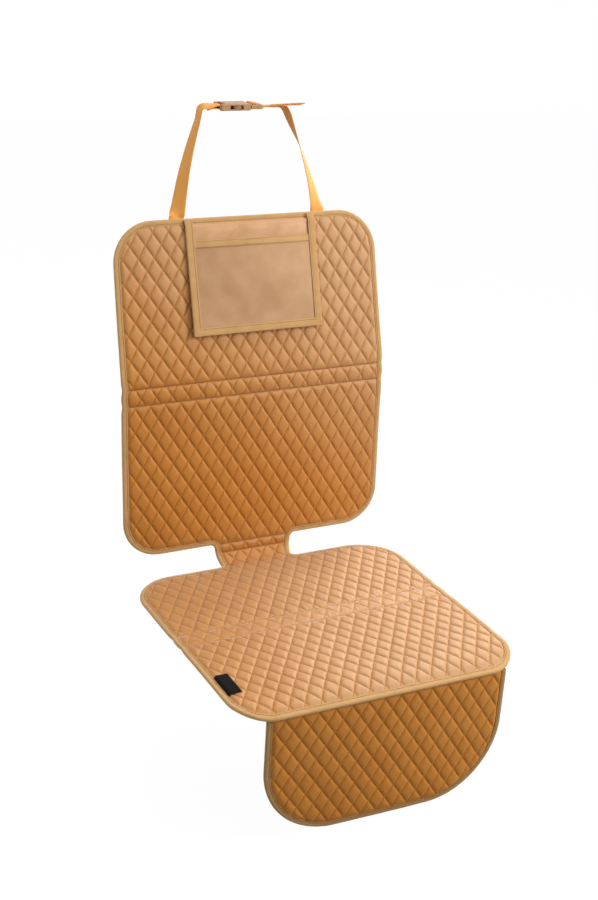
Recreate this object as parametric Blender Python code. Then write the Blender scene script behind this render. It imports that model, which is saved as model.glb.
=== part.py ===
"""Car seat protector mat: quilted back, neck and seat in one cut sheet, a front flap, a pocket and a buckled strap.

Metres, +Z up, -Y towards the front flap. The origin is the middle of the seat's level underside.
The sheet is drawn flat, as (across, along, up) from the seat's front edge, and laid over a side curve.
"""

import math

import bpy
from mathutils import Vector
from mathutils.geometry import delaunay_2d_cdt

# Side curve of the underside, from the seat's front edge to the top of the back
SEAT_LENGTH = 0.434
FRONT_ROLL_LENGTH = 0.036
FRONT_ROLL_ANGLE = math.radians(22)
NECK_BEND_RADIUS = 0.024
NECK_STRAIGHT = 0.011
LOWER_BACK_ANGLE = math.radians(87.4)
LOWER_BACK_LENGTH = 0.254
MIDDLE_FOLD_WIDTH = 0.0265
UPPER_BACK_ANGLE = math.radians(75.7)
UPPER_BACK_LENGTH = 0.254
BACK_BEND_LENGTH = 0.030

# Cut outline of the sheet, measured over the binding
SEAT_FRONT_WIDTH = 0.462
SEAT_REAR_WIDTH = 0.467
BACK_TOP_WIDTH = 0.451
BACK_MIDDLE_WIDTH = 0.462
BACK_BOTTOM_WIDTH = 0.459
BACK_SHIFT = 0.001
NECK_TOP_WIDTH = 0.140
NECK_BOTTOM_WIDTH = 0.124
NECK_SHIFT = -0.001
NECK_FLAT = 0.003
SEAT_FRONT_CORNER = 0.056
SEAT_REAR_CORNER = 0.072
BACK_TOP_CORNER = 0.066
BACK_BOTTOM_CORNER = 0.062
NECK_FILLET = 0.009

# Stitched fold lines across the sheet
SEAT_FOLD_FROM_FRONT = 0.213
SEAT_FOLD_WIDTH = 0.033
NECK_FOLD_WIDTH = 0.016

# Quilted layers
BACKING_THICKNESS = 0.0008
EDGE_THICKNESS = 0.0025
STITCH_THICKNESS = 0.0034
QUILT_RISE = 0.0028
QUILT_FRONT = (0.0255, 0.0360)
QUILT_REAR = (0.0253, 0.0380)
QUILT_LOWER = (0.0257, 0.0390)
QUILT_UPPER = (0.0259, 0.0385)
QUILT_FLAP = (0.0263, 0.0375)
START_FRONT = (0.0113, 0.1415)
START_REAR = (0.0236, -0.1183)
START_LOWER = (0.0088, 0.1141)
START_UPPER = (0.0205, 0.1203)
START_FLAP = (0.0206, -0.0796)
QUILT_TAPER = 0.009
FOLD_TAPER = 0.008

# Binding tapes
TAPE_THICKNESS = 0.0008
BINDING_WIDTH = 0.0115
LIP_PINCH = 0.0003
CLEARANCE = 0.0003

# Front flap
FLAP_WIDTH = 0.394
FLAP_LENGTH = 0.203
FLAP_SHIFT = 0.006
FLAP_CORNER = 0.120
FLAP_RECESS = 0.0035
FLAP_LEAN = math.radians(0.5)

# Pocket on the upper back
POCKET_WIDTH = 0.226
POCKET_LENGTH = 0.178
POCKET_SHIFT = 0.0045
POCKET_TOP_DROP = 0.0025
POCKET_CORNER = 0.014
POCKET_CLOTH = 0.0008
POCKET_TAPE_WIDTH = 0.013
POCKET_MOUTH_DROP = 0.037
MOUTH_TAPE_WIDTH = 0.012
POCKET_STAND_OFF = 0.005
POCKET_BULGE = 0.011

# Sewn-in label, left bare
LABEL_LENGTH = 0.052
LABEL_WIDTH = 0.022
LABEL_THICKNESS = 0.0006
LABEL_FROM_FRONT = 0.090

# Webbing and buckle
WEBBING_WIDTH = 0.024
WEBBING_THICKNESS = 0.0012
SEWN_LENGTH = 0.040
STRAP_RISE = 0.168
BUCKLE_LEFT_END = -0.0365
SOCKET_LENGTH = 0.0520
SOCKET_WIDTH = 0.0310
SOCKET_HEIGHT = 0.0104
SOCKET_WALL = 0.0020
SOCKET_FLOOR = 0.0021
SOCKET_RECESS = 0.0105
BUCKLE_CORNER = 0.0050
BAR_FROM_END = 0.0020
BAR_LENGTH = 0.0032
BAR_HEIGHT = 0.0032
WINDOW_FROM_END = 0.0170
WINDOW_LENGTH = 0.0225
WINDOW_HEIGHT = 0.0058
CLIP_LENGTH = 0.0222
CLIP_HEIGHT = 0.0070
CLIP_END_WALL = 0.0030
CLIP_SLOT = 0.0030
CLIP_MIDDLE_BAR = 0.0035
CLIP_OUTER_SLOT = 0.0080
CLIP_BAR_BOTTOM = 0.0010
CLIP_BAR_HEIGHT = 0.0030
PRONG_REACH = 0.0280
PRONG_WIDTH = 0.0024
PRONG_TAB_LENGTH = 0.0150
PRONG_TAB_DEPTH = 0.0046
GUIDE_WIDTH = 0.0050
GUIDE_REACH = 0.0240
SLIDE_CLEARANCE = 0.0004
SLOT_CLEARANCE = 0.0006
RUN_TILT = math.radians(12)
RUN_TILT_LENGTH = 0.020
CORNER_ROWS = 2
BUCKLE_BEVEL = 0.0011

ARC_STEPS = 8
MM = 1000.0
LOOP_TOLERANCE = 1e-4

NECK_TURN = LOWER_BACK_ANGLE
NECK_BEND_LENGTH = NECK_BEND_RADIUS * NECK_TURN
S_BACK = SEAT_LENGTH + NECK_BEND_LENGTH + NECK_STRAIGHT
S_FOLD = S_BACK + LOWER_BACK_LENGTH
S_UPPER = S_FOLD + MIDDLE_FOLD_WIDTH
S_TOP = S_UPPER + UPPER_BACK_LENGTH
BEND_START = S_UPPER - BACK_BEND_LENGTH / 3

# Heights above the underside
SHEET_BOTTOM = BACKING_THICKNESS + CLEARANCE
EDGE_TOP = SHEET_BOTTOM + EDGE_THICKNESS
STITCH_TOP = SHEET_BOTTOM + STITCH_THICKNESS
QUILT_TOP = STITCH_TOP + QUILT_RISE
WRAP_BOTTOM = -CLEARANCE - TAPE_THICKNESS
WRAP_TOP = EDGE_TOP + CLEARANCE + TAPE_THICKNESS
SHEET_INSET = TAPE_THICKNESS + CLEARANCE

LEATHER = ((0.62, 0.36, 0.16), 0.5)
TAPE = ((0.60, 0.44, 0.24), 0.8)
CLOTH = ((0.52, 0.35, 0.20), 0.8)
BACKING = ((0.20, 0.15, 0.11), 0.9)
WEBBING = ((0.66, 0.40, 0.14), 0.75)
PLASTIC = ((0.50, 0.31, 0.17), 0.45)
LABEL = ((0.015, 0.013, 0.013), 0.6)


def clear_scene():
    """Removes what the file was opened with."""
    for old in list(bpy.data.objects):
        bpy.data.objects.remove(old)


def material(name, finish):
    """A Principled material of one colour and roughness."""
    colour, roughness = finish
    made = bpy.data.materials.new(name)
    made.use_nodes = True
    shader = made.node_tree.nodes["Principled BSDF"]
    shader.inputs["Base Color"].default_value = (*colour, 1.0)
    shader.inputs["Roughness"].default_value = roughness
    shader.inputs["Metallic"].default_value = 0.0
    made.diffuse_color = (*colour, 1.0)
    return made


def add_object(name, points, faces, finish):
    """A mesh object from points and faces, with its own material."""
    mesh = bpy.data.meshes.new(name)
    mesh.from_pydata([tuple(p) for p in points], [], faces)
    mesh.update()
    mesh.materials.append(material(name, finish))
    made = bpy.data.objects.new(name, mesh)
    bpy.context.scene.collection.objects.link(made)
    return made


# The side curve


def curve_segments():
    """The side curve as lengths, each with the angle it turns through."""
    return [
        (FRONT_ROLL_LENGTH, -FRONT_ROLL_ANGLE),
        (SEAT_LENGTH - FRONT_ROLL_LENGTH, 0.0),
        (NECK_BEND_LENGTH, NECK_TURN),
        (BEND_START - SEAT_LENGTH - NECK_BEND_LENGTH, 0.0),
        (BACK_BEND_LENGTH, UPPER_BACK_ANGLE - LOWER_BACK_ANGLE),
        (S_TOP - BEND_START - BACK_BEND_LENGTH, 0.0),
    ]


def step_along(y, z, angle, length, turn):
    """Where an arc of this length and turn ends."""
    if abs(turn) < 1e-9:
        return y + length * math.cos(angle), z + length * math.sin(angle), angle
    radius = length / turn
    end = angle + turn
    y += radius * (math.sin(end) - math.sin(angle))
    z -= radius * (math.cos(end) - math.cos(angle))
    return y, z, end


def run_curve(s):
    """Place and angle at s along the side curve, from its front end; it runs on straight past both ends."""
    y, z, angle = 0.0, 0.0, FRONT_ROLL_ANGLE
    left = s
    if left < 0:
        return step_along(y, z, angle, left, 0.0)
    for length, turn in curve_segments():
        part = min(left, length)
        y, z, angle = step_along(y, z, angle, part, turn * part / length)
        left -= part
        if left <= 0:
            return y, z, angle
    return step_along(y, z, angle, left, 0.0)


SEAT_MIDDLE = run_curve(SEAT_LENGTH / 2)


def on_sheet(u, s, n):
    """The point at u across, s along and n above the underside."""
    y, z, angle = run_curve(s)
    y += -n * math.sin(angle) - SEAT_MIDDLE[0]
    z += n * math.cos(angle) - SEAT_MIDDLE[1]
    return Vector((u, y, z))


def bend_lines():
    """Where the sheet needs an edge across it to follow the side curve, and its stitched folds."""
    lines = [FRONT_ROLL_LENGTH * i / 4 for i in range(1, 5)]
    lines += [SEAT_LENGTH + NECK_BEND_LENGTH * i / 10 for i in range(11)]
    lines += [BEND_START + BACK_BEND_LENGTH * i / 2 for i in range(3)]
    lines += fold_lines()
    lines.sort()
    return [s for i, s in enumerate(lines) if i == 0 or s - lines[i - 1] > 0.002]


def fold_lines():
    """The stitched lines across the sheet, two for each fold strip."""
    seat = [SEAT_FOLD_FROM_FRONT, SEAT_FOLD_FROM_FRONT + SEAT_FOLD_WIDTH]
    neck = [S_BACK - NECK_FOLD_WIDTH, S_BACK]
    return seat + neck + [S_FOLD, S_UPPER]


# Flat outlines


def sheet_corners():
    """Corners of the cut sheet as (u, s, radius), anticlockwise from the seat's front right."""
    rear = SEAT_LENGTH - NECK_FLAT
    s_middle = (S_FOLD + S_UPPER) / 2
    rows = [
        (0.0, SEAT_FRONT_WIDTH, 0.0, SEAT_FRONT_CORNER),
        (0.0, SEAT_REAR_WIDTH, rear, SEAT_REAR_CORNER),
        (NECK_SHIFT, NECK_BOTTOM_WIDTH, rear, NECK_FILLET),
        (NECK_SHIFT, NECK_TOP_WIDTH, S_BACK, NECK_FILLET),
        (BACK_SHIFT, BACK_BOTTOM_WIDTH, S_BACK, BACK_BOTTOM_CORNER),
        (BACK_SHIFT, BACK_MIDDLE_WIDTH, s_middle, 0.0),
        (BACK_SHIFT, BACK_TOP_WIDTH, S_TOP, BACK_TOP_CORNER),
    ]
    right = [(shift + width / 2, s, radius) for shift, width, s, radius in rows]
    left = [(shift - width / 2, s, radius) for shift, width, s, radius in reversed(rows)]
    return right + left


def flap_corners():
    """Corners of the flap as (u, t, radius), t upwards from its top edge, anticlockwise from its bottom left."""
    half = FLAP_WIDTH / 2
    return [
        (FLAP_SHIFT - half, -FLAP_LENGTH, FLAP_CORNER),
        (FLAP_SHIFT + half, -FLAP_LENGTH, FLAP_CORNER),
        (FLAP_SHIFT + half, 0.0, 0.0),
        (FLAP_SHIFT - half, 0.0, 0.0),
    ]


def inset(corners, distance, keep=()):
    """The same corners moved inwards by a distance, apart from the sides numbered in keep."""
    count = len(corners)
    sides = []
    for i in range(count):
        a = Vector(corners[i][:2])
        b = Vector(corners[(i + 1) % count][:2])
        along = (b - a).normalized()
        shift = 0.0 if i in keep else distance
        sides.append((a + Vector((-along.y, along.x)) * shift, along))
    moved = []
    for i in range(count):
        (p, a), (q, b) = sides[i - 1], sides[i]
        cross = a.x * b.y - a.y * b.x
        reach = ((q.x - p.x) * b.y - (q.y - p.y) * b.x) / cross
        spot = p + a * reach
        radius = corners[i][2]
        if radius:
            radius = max(radius - distance, 0.001) if cross > 0 else radius + distance
        moved.append((spot.x, spot.y, radius))
    return moved


def rounded(corners, levels=(), steps=ARC_STEPS):
    """The outline with each corner rounded, and a point wherever a straight side crosses a level."""
    count = len(corners)
    points = []
    for i in range(count):
        before = Vector(corners[i - 1][:2])
        spot = Vector(corners[i][:2])
        after = Vector(corners[(i + 1) % count][:2])
        radius = corners[i][2]
        a = (before - spot).normalized()
        b = (after - spot).normalized()
        if radius == 0.0:
            points.append(spot)
            continue
        half = a.angle(b) / 2
        centre = spot + (a + b).normalized() * (radius / math.sin(half))
        start = spot + a * (radius / math.tan(half)) - centre
        turn = math.pi - 2 * half
        turn *= 1 if a.x * b.y - a.y * b.x < 0 else -1
        number = max(2, round(steps * abs(turn) / (math.pi / 2)))
        for k in range(number + 1):
            angle = turn * k / number
            c, d = math.cos(angle), math.sin(angle)
            points.append(centre + Vector((start.x * c - start.y * d, start.x * d + start.y * c)))
    return with_levels(points, levels)


def with_levels(points, levels):
    """The closed outline with a point wherever a side crosses one of the levels."""
    full = []
    for p, q in zip(points, points[1:] + points[:1]):
        full.append(p)
        found = []
        for level in levels:
            if min(p.y, q.y) + 2e-4 < level < max(p.y, q.y) - 2e-4:
                found.append((level - p.y) / (q.y - p.y))
        full += [p.lerp(q, f) for f in sorted(found)]
    return full


def spans_inside(outline, p, q):
    """The stretches of the line from p to q that lie inside the outline."""
    line = q - p
    cuts = []
    for a, b in zip(outline, outline[1:] + outline[:1]):
        side = b - a
        cross = line.x * side.y - line.y * side.x
        if abs(cross) < 1e-12:
            continue
        f = ((a.x - p.x) * side.y - (a.y - p.y) * side.x) / cross
        g = ((a.x - p.x) * line.y - (a.y - p.y) * line.x) / cross
        if 0 <= g < 1 and 0 < f < 1:
            cuts.append(f)
    cuts.sort()
    pairs = zip(cuts[::2], cuts[1::2])
    return [(p + line * f, p + line * g) for f, g in pairs if (g - f) * line.length > 1e-4]


def distance_to(outline, p):
    """The distance from p to the nearest side of the outline."""
    best = 1.0
    for a, b in zip(outline, outline[1:] + outline[:1]):
        side = b - a
        f = max(0.0, min(1.0, (p - a).dot(side) / side.length_squared))
        best = min(best, (p - a - side * f).length)
    return best


def is_inside(outline, p):
    """Whether p is inside the outline."""
    inside = False
    for a, b in zip(outline, outline[1:] + outline[:1]):
        if (a.y > p.y) != (b.y > p.y) and p.x < (b.x - a.x) * (p.y - a.y) / (b.y - a.y) + a.x:
            inside = not inside
    return inside


# Quilting


class Quilt:
    """A lattice of slanted stitch lines between two levels, with a crossing at start."""

    def __init__(self, size, start, low, high):
        self.width, self.length = size
        self.start = Vector(start)
        self.low = low
        self.high = high

    def clipped(self, p, q):
        """The part of a line from p up to q that lies between the levels."""
        a = max(0.0, (self.low + 2e-4 - p.y) / (q.y - p.y))
        b = min(1.0, (self.high - 2e-4 - p.y) / (q.y - p.y))
        return [(p.lerp(q, a), p.lerp(q, b))] if (b - a) * (q - p).length > 1e-4 else []

    def lines(self, outline):
        """The stitch lines inside the outline."""
        reach = max(abs(p.x) for p in outline)
        bottom = min(p.y for p in outline) - self.length
        top = max(p.y for p in outline) + self.length
        slope = self.width / self.length
        count = math.ceil((reach + slope * (top - bottom)) / self.width)
        found = []
        for side in (-1, 1):
            for k in range(-count, count + 1):
                foot = self.start.x + k * self.width
                rows = (bottom - self.start.y, top - self.start.y)
                p, q = [Vector((foot + side * slope * row, self.start.y + row)) for row in rows]
                for span in spans_inside(outline, p, q):
                    found += self.clipped(*span)
        return found

    def middles(self, outline, margin):
        """The middles of the diamonds that lie inside the outline and the levels by a margin."""
        reach = max(abs(p.x) for p in outline) + self.width
        first = math.floor(2 * (self.low - self.start.y) / self.length)
        last = math.ceil(2 * (self.high - self.start.y) / self.length)
        across = math.ceil(reach / self.width)
        found = []
        for row in range(first, last + 1):
            s = self.start.y + row * self.length / 2
            if not self.low + margin < s < self.high - margin:
                continue
            for column in range(-across, across + 1):
                half = 0.5 if row % 2 == 0 else 0.0
                p = Vector((self.start.x + (column + half) * self.width, s))
                if is_inside(outline, p) and distance_to(outline, p) > margin:
                    found.append(p)
        return found

    def pillow(self, p):
        """0 on a stitch line and 1 in the middle of a diamond."""
        a = (p.x - self.start.x) / self.width
        b = (p.y - self.start.y) / self.length
        return math.sqrt(abs(math.sin(math.pi * (a + b)) * math.sin(math.pi * (a - b))))


def sheet_quilts():
    """The lattices of the seat's front and rear, the neck and lower back, and the upper back."""
    front, rear = START_FRONT, (START_REAR[0], SEAT_LENGTH + START_REAR[1])
    lower, upper = (START_LOWER[0], S_BACK + START_LOWER[1]), (START_UPPER[0], S_UPPER + START_UPPER[1])
    return [
        Quilt(QUILT_FRONT, front, 0.0, SEAT_FOLD_FROM_FRONT),
        Quilt(QUILT_REAR, rear, SEAT_FOLD_FROM_FRONT, S_BACK - NECK_FOLD_WIDTH),
        Quilt(QUILT_LOWER, lower, S_BACK - NECK_FOLD_WIDTH, S_FOLD),
        Quilt(QUILT_UPPER, upper, S_FOLD, S_TOP),
    ]


def ease(x):
    """A smooth step from 0 to 1."""
    x = max(0.0, min(1.0, x))
    return x * x * (3 - 2 * x)


def quilt_height(p, quilts, edge, folds):
    """Height of the quilted face: low on stitch lines and folds, high between them, thin at the edge."""
    quilt = next(q for q in quilts if p.y <= q.high or q is quilts[-1])
    taper = ease(distance_to(edge, p) / QUILT_TAPER)
    near = min([abs(p.y - fold) for fold in folds] + [FOLD_TAPER])
    rise = QUILT_RISE * quilt.pillow(p) * ease(near / FOLD_TAPER)
    return EDGE_TOP + (STITCH_TOP - EDGE_TOP + rise) * taper


def triangles(outline, spots, lines):
    """Flat triangles inside the outline that keep the given points and lines as corners and edges."""
    points = [p * MM for p in outline] + [p * MM for p in spots]
    edges = []
    for p, q in lines:
        edges.append((len(points), len(points) + 1))
        points += [p * MM, q * MM]
    ring = list(range(len(outline)))
    made = delaunay_2d_cdt(points, edges, [ring], 1, 0.02)
    corner = {old: new for new, olds in enumerate(made[3]) for old in olds}
    return [v / MM for v in made[0]], [list(f) for f in made[2]], [corner[i] for i in ring]


def two_sided(name, place, front, back, finish):
    """A closed sheet: a front and a back of (points, heights, faces, ring), joined round their rings."""
    points = [place(p.x, p.y, h) for p, h in zip(front[0], front[1])]
    shift = len(points)
    points += [place(p.x, p.y, h) for p, h in zip(back[0], back[1])]
    faces = list(front[2])
    faces += [[shift + i for i in reversed(f)] for f in back[2]]
    count = len(front[3])
    for i in range(count):
        a, b = front[3][i], front[3][(i + 1) % count]
        c, d = shift + back[3][(i + 1) % count], shift + back[3][i]
        faces += [[b, a, d], [b, d, c]]
    return add_object(name, points, faces, finish)


def cross_lines(outline, levels):
    """Lines right across the outline at the levels, where its sides have points for them."""
    lines = []
    for level in levels:
        spots = sorted((p for p in outline if abs(p.y - level) < 1e-7), key=lambda p: p.x)
        lines += list(zip(spots[::2], spots[1::2]))
    return lines


def quilted_sheet(name, corners, place, quilts, levels, folds, keep=()):
    """A quilted panel: diamonds on its front, a plain back, thin and flat under the binding."""
    edge = rounded(inset(corners, SHEET_INSET, keep), levels)
    inner = rounded(inset(corners, BINDING_WIDTH + CLEARANCE), ())
    across = cross_lines(edge, levels)
    loop = list(zip(inner, inner[1:] + inner[:1]))
    stitches = [line for quilt in quilts for line in quilt.lines(inner)]
    spots = [spot for quilt in quilts for spot in quilt.middles(inner, 0.004)]
    points, faces, ring = triangles(edge, spots, loop + stitches + across)
    heights = []
    for p in points:
        within = is_inside(inner, p)
        heights.append(quilt_height(p, quilts, inner, folds) if within else EDGE_TOP)
    front = (points, heights, faces, ring)
    flat, flat_faces, flat_ring = triangles(edge, [], across)
    back = (flat, [SHEET_BOTTOM] * len(flat), flat_faces, flat_ring)
    return two_sided(name, place, front, back, LEATHER)


def plain_sheet(name, corners, place, levels, low, high, finish, keep=()):
    """A flat-cut sheet between two heights, over the panel's curve, pinched thinner over the tape's lip."""
    edge = rounded(inset(corners, SHEET_INSET, keep), levels)
    inner = rounded(inset(corners, BINDING_WIDTH + CLEARANCE), ())
    across = cross_lines(edge, levels)
    flat, faces, ring = triangles(edge, [], across)
    front = (flat, [high] * len(flat), faces, ring)
    points, back_faces, back_ring = triangles(edge, [], across + list(zip(inner, inner[1:] + inner[:1])))
    free = [is_inside(inner, p) or distance_to(inner, p) < LOOP_TOLERANCE for p in points]
    heights = [low if inside else low + LIP_PINCH for inside in free]
    return two_sided(name, place, front, (points, heights, back_faces, back_ring), finish)


# Tapes


def tape_along(name, path, section, place, finish, closed=False):
    """A tape of constant section, given as (inwards, up), carried along a flat path."""
    rings = []
    for i, p in enumerate(path):
        before = (p - path[i - 1]).normalized() if i or closed else None
        after = (path[(i + 1) % len(path)] - p).normalized() if i + 1 < len(path) or closed else None
        before = before or after
        after = after or before
        inward = Vector((-before.y - after.y, before.x + after.x)).normalized()
        inward /= inward.dot(Vector((-before.y, before.x)))
        rings.append([place(p.x + inward.x * d, p.y + inward.y * d, n) for d, n in section])
    count = len(section)
    faces = []
    for k in range(len(rings) if closed else len(rings) - 1):
        here, there = k * count, (k + 1) % len(rings) * count
        for j in range(count):
            after = (j + 1) % count
            faces.append([here + j, here + after, there + after, there + j])
    if not closed:
        first = list(range(count))
        last = [(len(rings) - 1) * count + j for j in range(count)]
        faces += [first[::-1], last]
    return add_object(name, [p for ring in rings for p in ring], faces, finish)


def wrap_section(width, low, high):
    """The folded tape's section: round the edge from under the sheet to over it."""
    wall = TAPE_THICKNESS
    return [
        (0.0, low),
        (width, low),
        (width, low + wall),
        (wall, low + wall),
        (wall, high - wall),
        (width, high - wall),
        (width, high),
        (0.0, high),
    ]


def open_path(outline, first, last):
    """The part of the closed outline from the point nearest first round to the one nearest last."""
    a = min(range(len(outline)), key=lambda i: (outline[i] - first).length)
    turned = outline[a:] + outline[:a]
    b = min(range(len(turned)), key=lambda i: (turned[i] - last).length)
    return turned[: b + 1]


def build_mat():
    """The quilted sheet, its anti-slip backing and the binding round them."""
    corners = sheet_corners()
    levels = bend_lines()
    quilted_sheet("quilted_mat", corners, on_sheet, sheet_quilts(), levels, fold_lines())
    plain_sheet("anti_slip_backing", corners, on_sheet, levels, 0.0, BACKING_THICKNESS, BACKING)
    section = wrap_section(BINDING_WIDTH, WRAP_BOTTOM, WRAP_TOP)
    tape_along("mat_binding", rounded(corners, levels), section, on_sheet, TAPE, closed=True)


def flap_anchor():
    """Place of the flap's top rear edge: a little behind the front binding and just under it."""
    edge = on_sheet(0.0, 0.0, WRAP_BOTTOM - CLEARANCE)
    return edge.y + FLAP_RECESS + WRAP_TOP, edge.z + math.tan(FRONT_ROLL_ANGLE) * FLAP_RECESS


def on_flap(u, t, n):
    """The point at u across, t up from the flap's top edge and n forward of its rear face."""
    y, z = flap_anchor()
    c, s = math.cos(FLAP_LEAN), math.sin(FLAP_LEAN)
    return Vector((u, y - s * t - c * n, z + c * t - s * n))


def build_flap():
    """The front flap: a quilted panel with a lining, bound on its three free sides."""
    corners = flap_corners()
    quilts = [Quilt(QUILT_FLAP, START_FLAP, -FLAP_LENGTH, 0.0)]
    quilted_sheet("flap_panel", corners, on_flap, quilts, (), (), keep=(2,))
    plain_sheet("flap_lining", corners, on_flap, (), 0.0, BACKING_THICKNESS, BACKING, keep=(2,))
    half = FLAP_WIDTH / 2
    outline = rounded(corners, ())
    path = open_path(outline, Vector((FLAP_SHIFT - half, 0.0)), Vector((FLAP_SHIFT + half, 0.0)))
    section = wrap_section(BINDING_WIDTH, WRAP_BOTTOM, WRAP_TOP)
    tape_along("flap_binding", path, section, on_flap, TAPE)


# Pocket


def pocket_rest(q):
    """Height of the pocket's backing above the underside at q below the top edge."""
    under = 2 * CLEARANCE + TAPE_THICKNESS
    low = WRAP_TOP + under
    high = QUILT_TOP + under + POCKET_STAND_OFF * ease((q - BINDING_WIDTH) / POCKET_LENGTH)
    return low + (high - low) * ease((q - 0.6 * BINDING_WIDTH) / (0.6 * BINDING_WIDTH))


def pocket_corners():
    """Corners of the pocket as (u, s, radius), anticlockwise from its bottom left."""
    half = POCKET_WIDTH / 2
    top = S_TOP - POCKET_TOP_DROP
    bottom = top - POCKET_LENGTH
    return [
        (POCKET_SHIFT - half, bottom, POCKET_CORNER),
        (POCKET_SHIFT + half, bottom, POCKET_CORNER),
        (POCKET_SHIFT + half, top, 0.0),
        (POCKET_SHIFT - half, top, 0.0),
    ]


def on_pocket(u, s, n):
    """The point at u across, s along and n in front of the pocket's backing's rear face."""
    return on_sheet(u, s, pocket_rest(S_TOP - s) + n)


def pocket_swell(u, s):
    """How far the pocket's front stands off its backing: most in the middle, nothing under the side tapes."""
    half = POCKET_WIDTH / 2 - POCKET_TAPE_WIDTH
    low = S_TOP - POCKET_TOP_DROP - POCKET_LENGTH + POCKET_TAPE_WIDTH
    high = S_TOP - POCKET_TOP_DROP - POCKET_MOUTH_DROP
    across = max(0.0, 1 - ((u - POCKET_SHIFT) / half) ** 2)
    along = max(0.0, min(1.0, (s - low) / (high - low)))
    return POCKET_BULGE * across * ease(1.6 * along)


def grid_sheet(name, place, us, ss, low, high, finish):
    """A closed sheet on a grid of u and s, between two heights that may vary."""
    points = []
    for height in (low, high):
        points += [place(u, s, height(u, s)) for s in ss for u in us]
    across, along = len(us), len(ss)
    total = across * along
    faces = []
    for j in range(along - 1):
        for i in range(across - 1):
            a = j * across + i
            top = [a + total, a + 1 + total, a + 1 + across + total, a + across + total]
            faces += [[a, a + across, a + 1 + across, a + 1], top]
    rim = [i for i in range(across)]
    rim += [(j + 1) * across - 1 for j in range(1, along)]
    rim += [(along - 1) * across + i for i in range(across - 2, -1, -1)]
    rim += [j * across for j in range(along - 2, 0, -1)]
    for a, b in zip(rim, rim[1:] + rim[:1]):
        faces.append([a, b, b + total, a + total])
    return add_object(name, points, faces, finish)


def steps(low, high, count):
    """count + 1 even steps from low to high."""
    return [low + (high - low) * i / count for i in range(count + 1)]


def build_pocket():
    """The pocket: backing, swelling front, a tape round its sides and bottom, and one on its mouth."""
    half = POCKET_WIDTH / 2 - SHEET_INSET
    margin = POCKET_WIDTH / 2 - POCKET_TAPE_WIDTH
    top = S_TOP - POCKET_TOP_DROP
    bottom = top - POCKET_LENGTH + SHEET_INSET
    fold_in = top - POCKET_LENGTH + POCKET_TAPE_WIDTH
    mouth = top - POCKET_MOUTH_DROP
    corners = inset(pocket_corners(), SHEET_INSET, keep=(2,))
    levels = [S_TOP - BINDING_WIDTH * k for k in (0.6, 0.75, 0.9, 1.05, 1.2)]
    levels += [S_TOP - 1.3 * BINDING_WIDTH - (POCKET_LENGTH - 1.3 * BINDING_WIDTH) * k / 5 for k in (1, 2, 3, 4)]
    edge = rounded(corners, levels, 4)
    flat, faces, ring = triangles(edge, [], cross_lines(edge, levels))
    front = (flat, [POCKET_CLOTH] * len(flat), faces, ring)
    back = (flat, [0.0] * len(flat), faces, ring)
    two_sided("pocket_backing", on_pocket, front, back, CLOTH)

    base = POCKET_CLOTH + CLEARANCE
    middle = [POCKET_SHIFT + x for x in steps(-margin, margin, 12)]
    us = [POCKET_SHIFT - half] + middle + [POCKET_SHIFT + half]
    ss = [bottom] + steps(fold_in, mouth, 8)
    corner = POCKET_CORNER - SHEET_INSET
    cut = corner * (1 - math.sqrt(0.5))

    def rounded_in(u, s, n):
        """Keeps the front inside the backing's round corners."""
        over = max(0.0, fold_in - s) > 0 and abs(u - POCKET_SHIFT) > margin
        shift = math.copysign(cut, u - POCKET_SHIFT) if over else 0.0
        return on_pocket(u - shift, s + (cut if over else 0.0), n)

    def low(u, s):
        return base + pocket_swell(u, s)

    def high(u, s):
        return base + POCKET_CLOTH + pocket_swell(u, s)

    grid_sheet("pocket_front", rounded_in, us, ss, low, high, CLOTH)

    outer = 2 * POCKET_CLOTH + CLEARANCE
    section = wrap_section(POCKET_TAPE_WIDTH, -CLEARANCE - TAPE_THICKNESS, outer + CLEARANCE + TAPE_THICKNESS)
    tape_levels = [s for s in levels if s < S_TOP - 1.3 * BINDING_WIDTH]
    outline = rounded(pocket_corners(), levels, 4)
    left = Vector((POCKET_SHIFT - POCKET_WIDTH / 2, top))
    right = Vector((POCKET_SHIFT + POCKET_WIDTH / 2, top))
    path = open_path(outline, left, right)
    lift = TAPE_THICKNESS + CLEARANCE

    def lifted(u, s, n):
        """Keeps the tape clear of the binding and the quilting behind it."""
        return on_sheet(u, s, pocket_rest(S_TOP - s) + n)

    tape_along("pocket_tape", path, section, lifted, TAPE)

    gap = CLEARANCE
    tape_us = [POCKET_SHIFT + x for x in steps(-margin + gap, margin - gap, 12)]
    tape_ss = [mouth - MOUTH_TAPE_WIDTH / 2, mouth + MOUTH_TAPE_WIDTH / 2]

    def tape_low(u, s):
        return base + POCKET_CLOTH + gap + pocket_swell(u, min(s, mouth))

    def tape_high(u, s):
        return tape_low(u, s) + TAPE_THICKNESS

    grid_sheet("pocket_mouth_tape", on_pocket, tape_us, tape_ss, tape_low, tape_high, TAPE)


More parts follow.
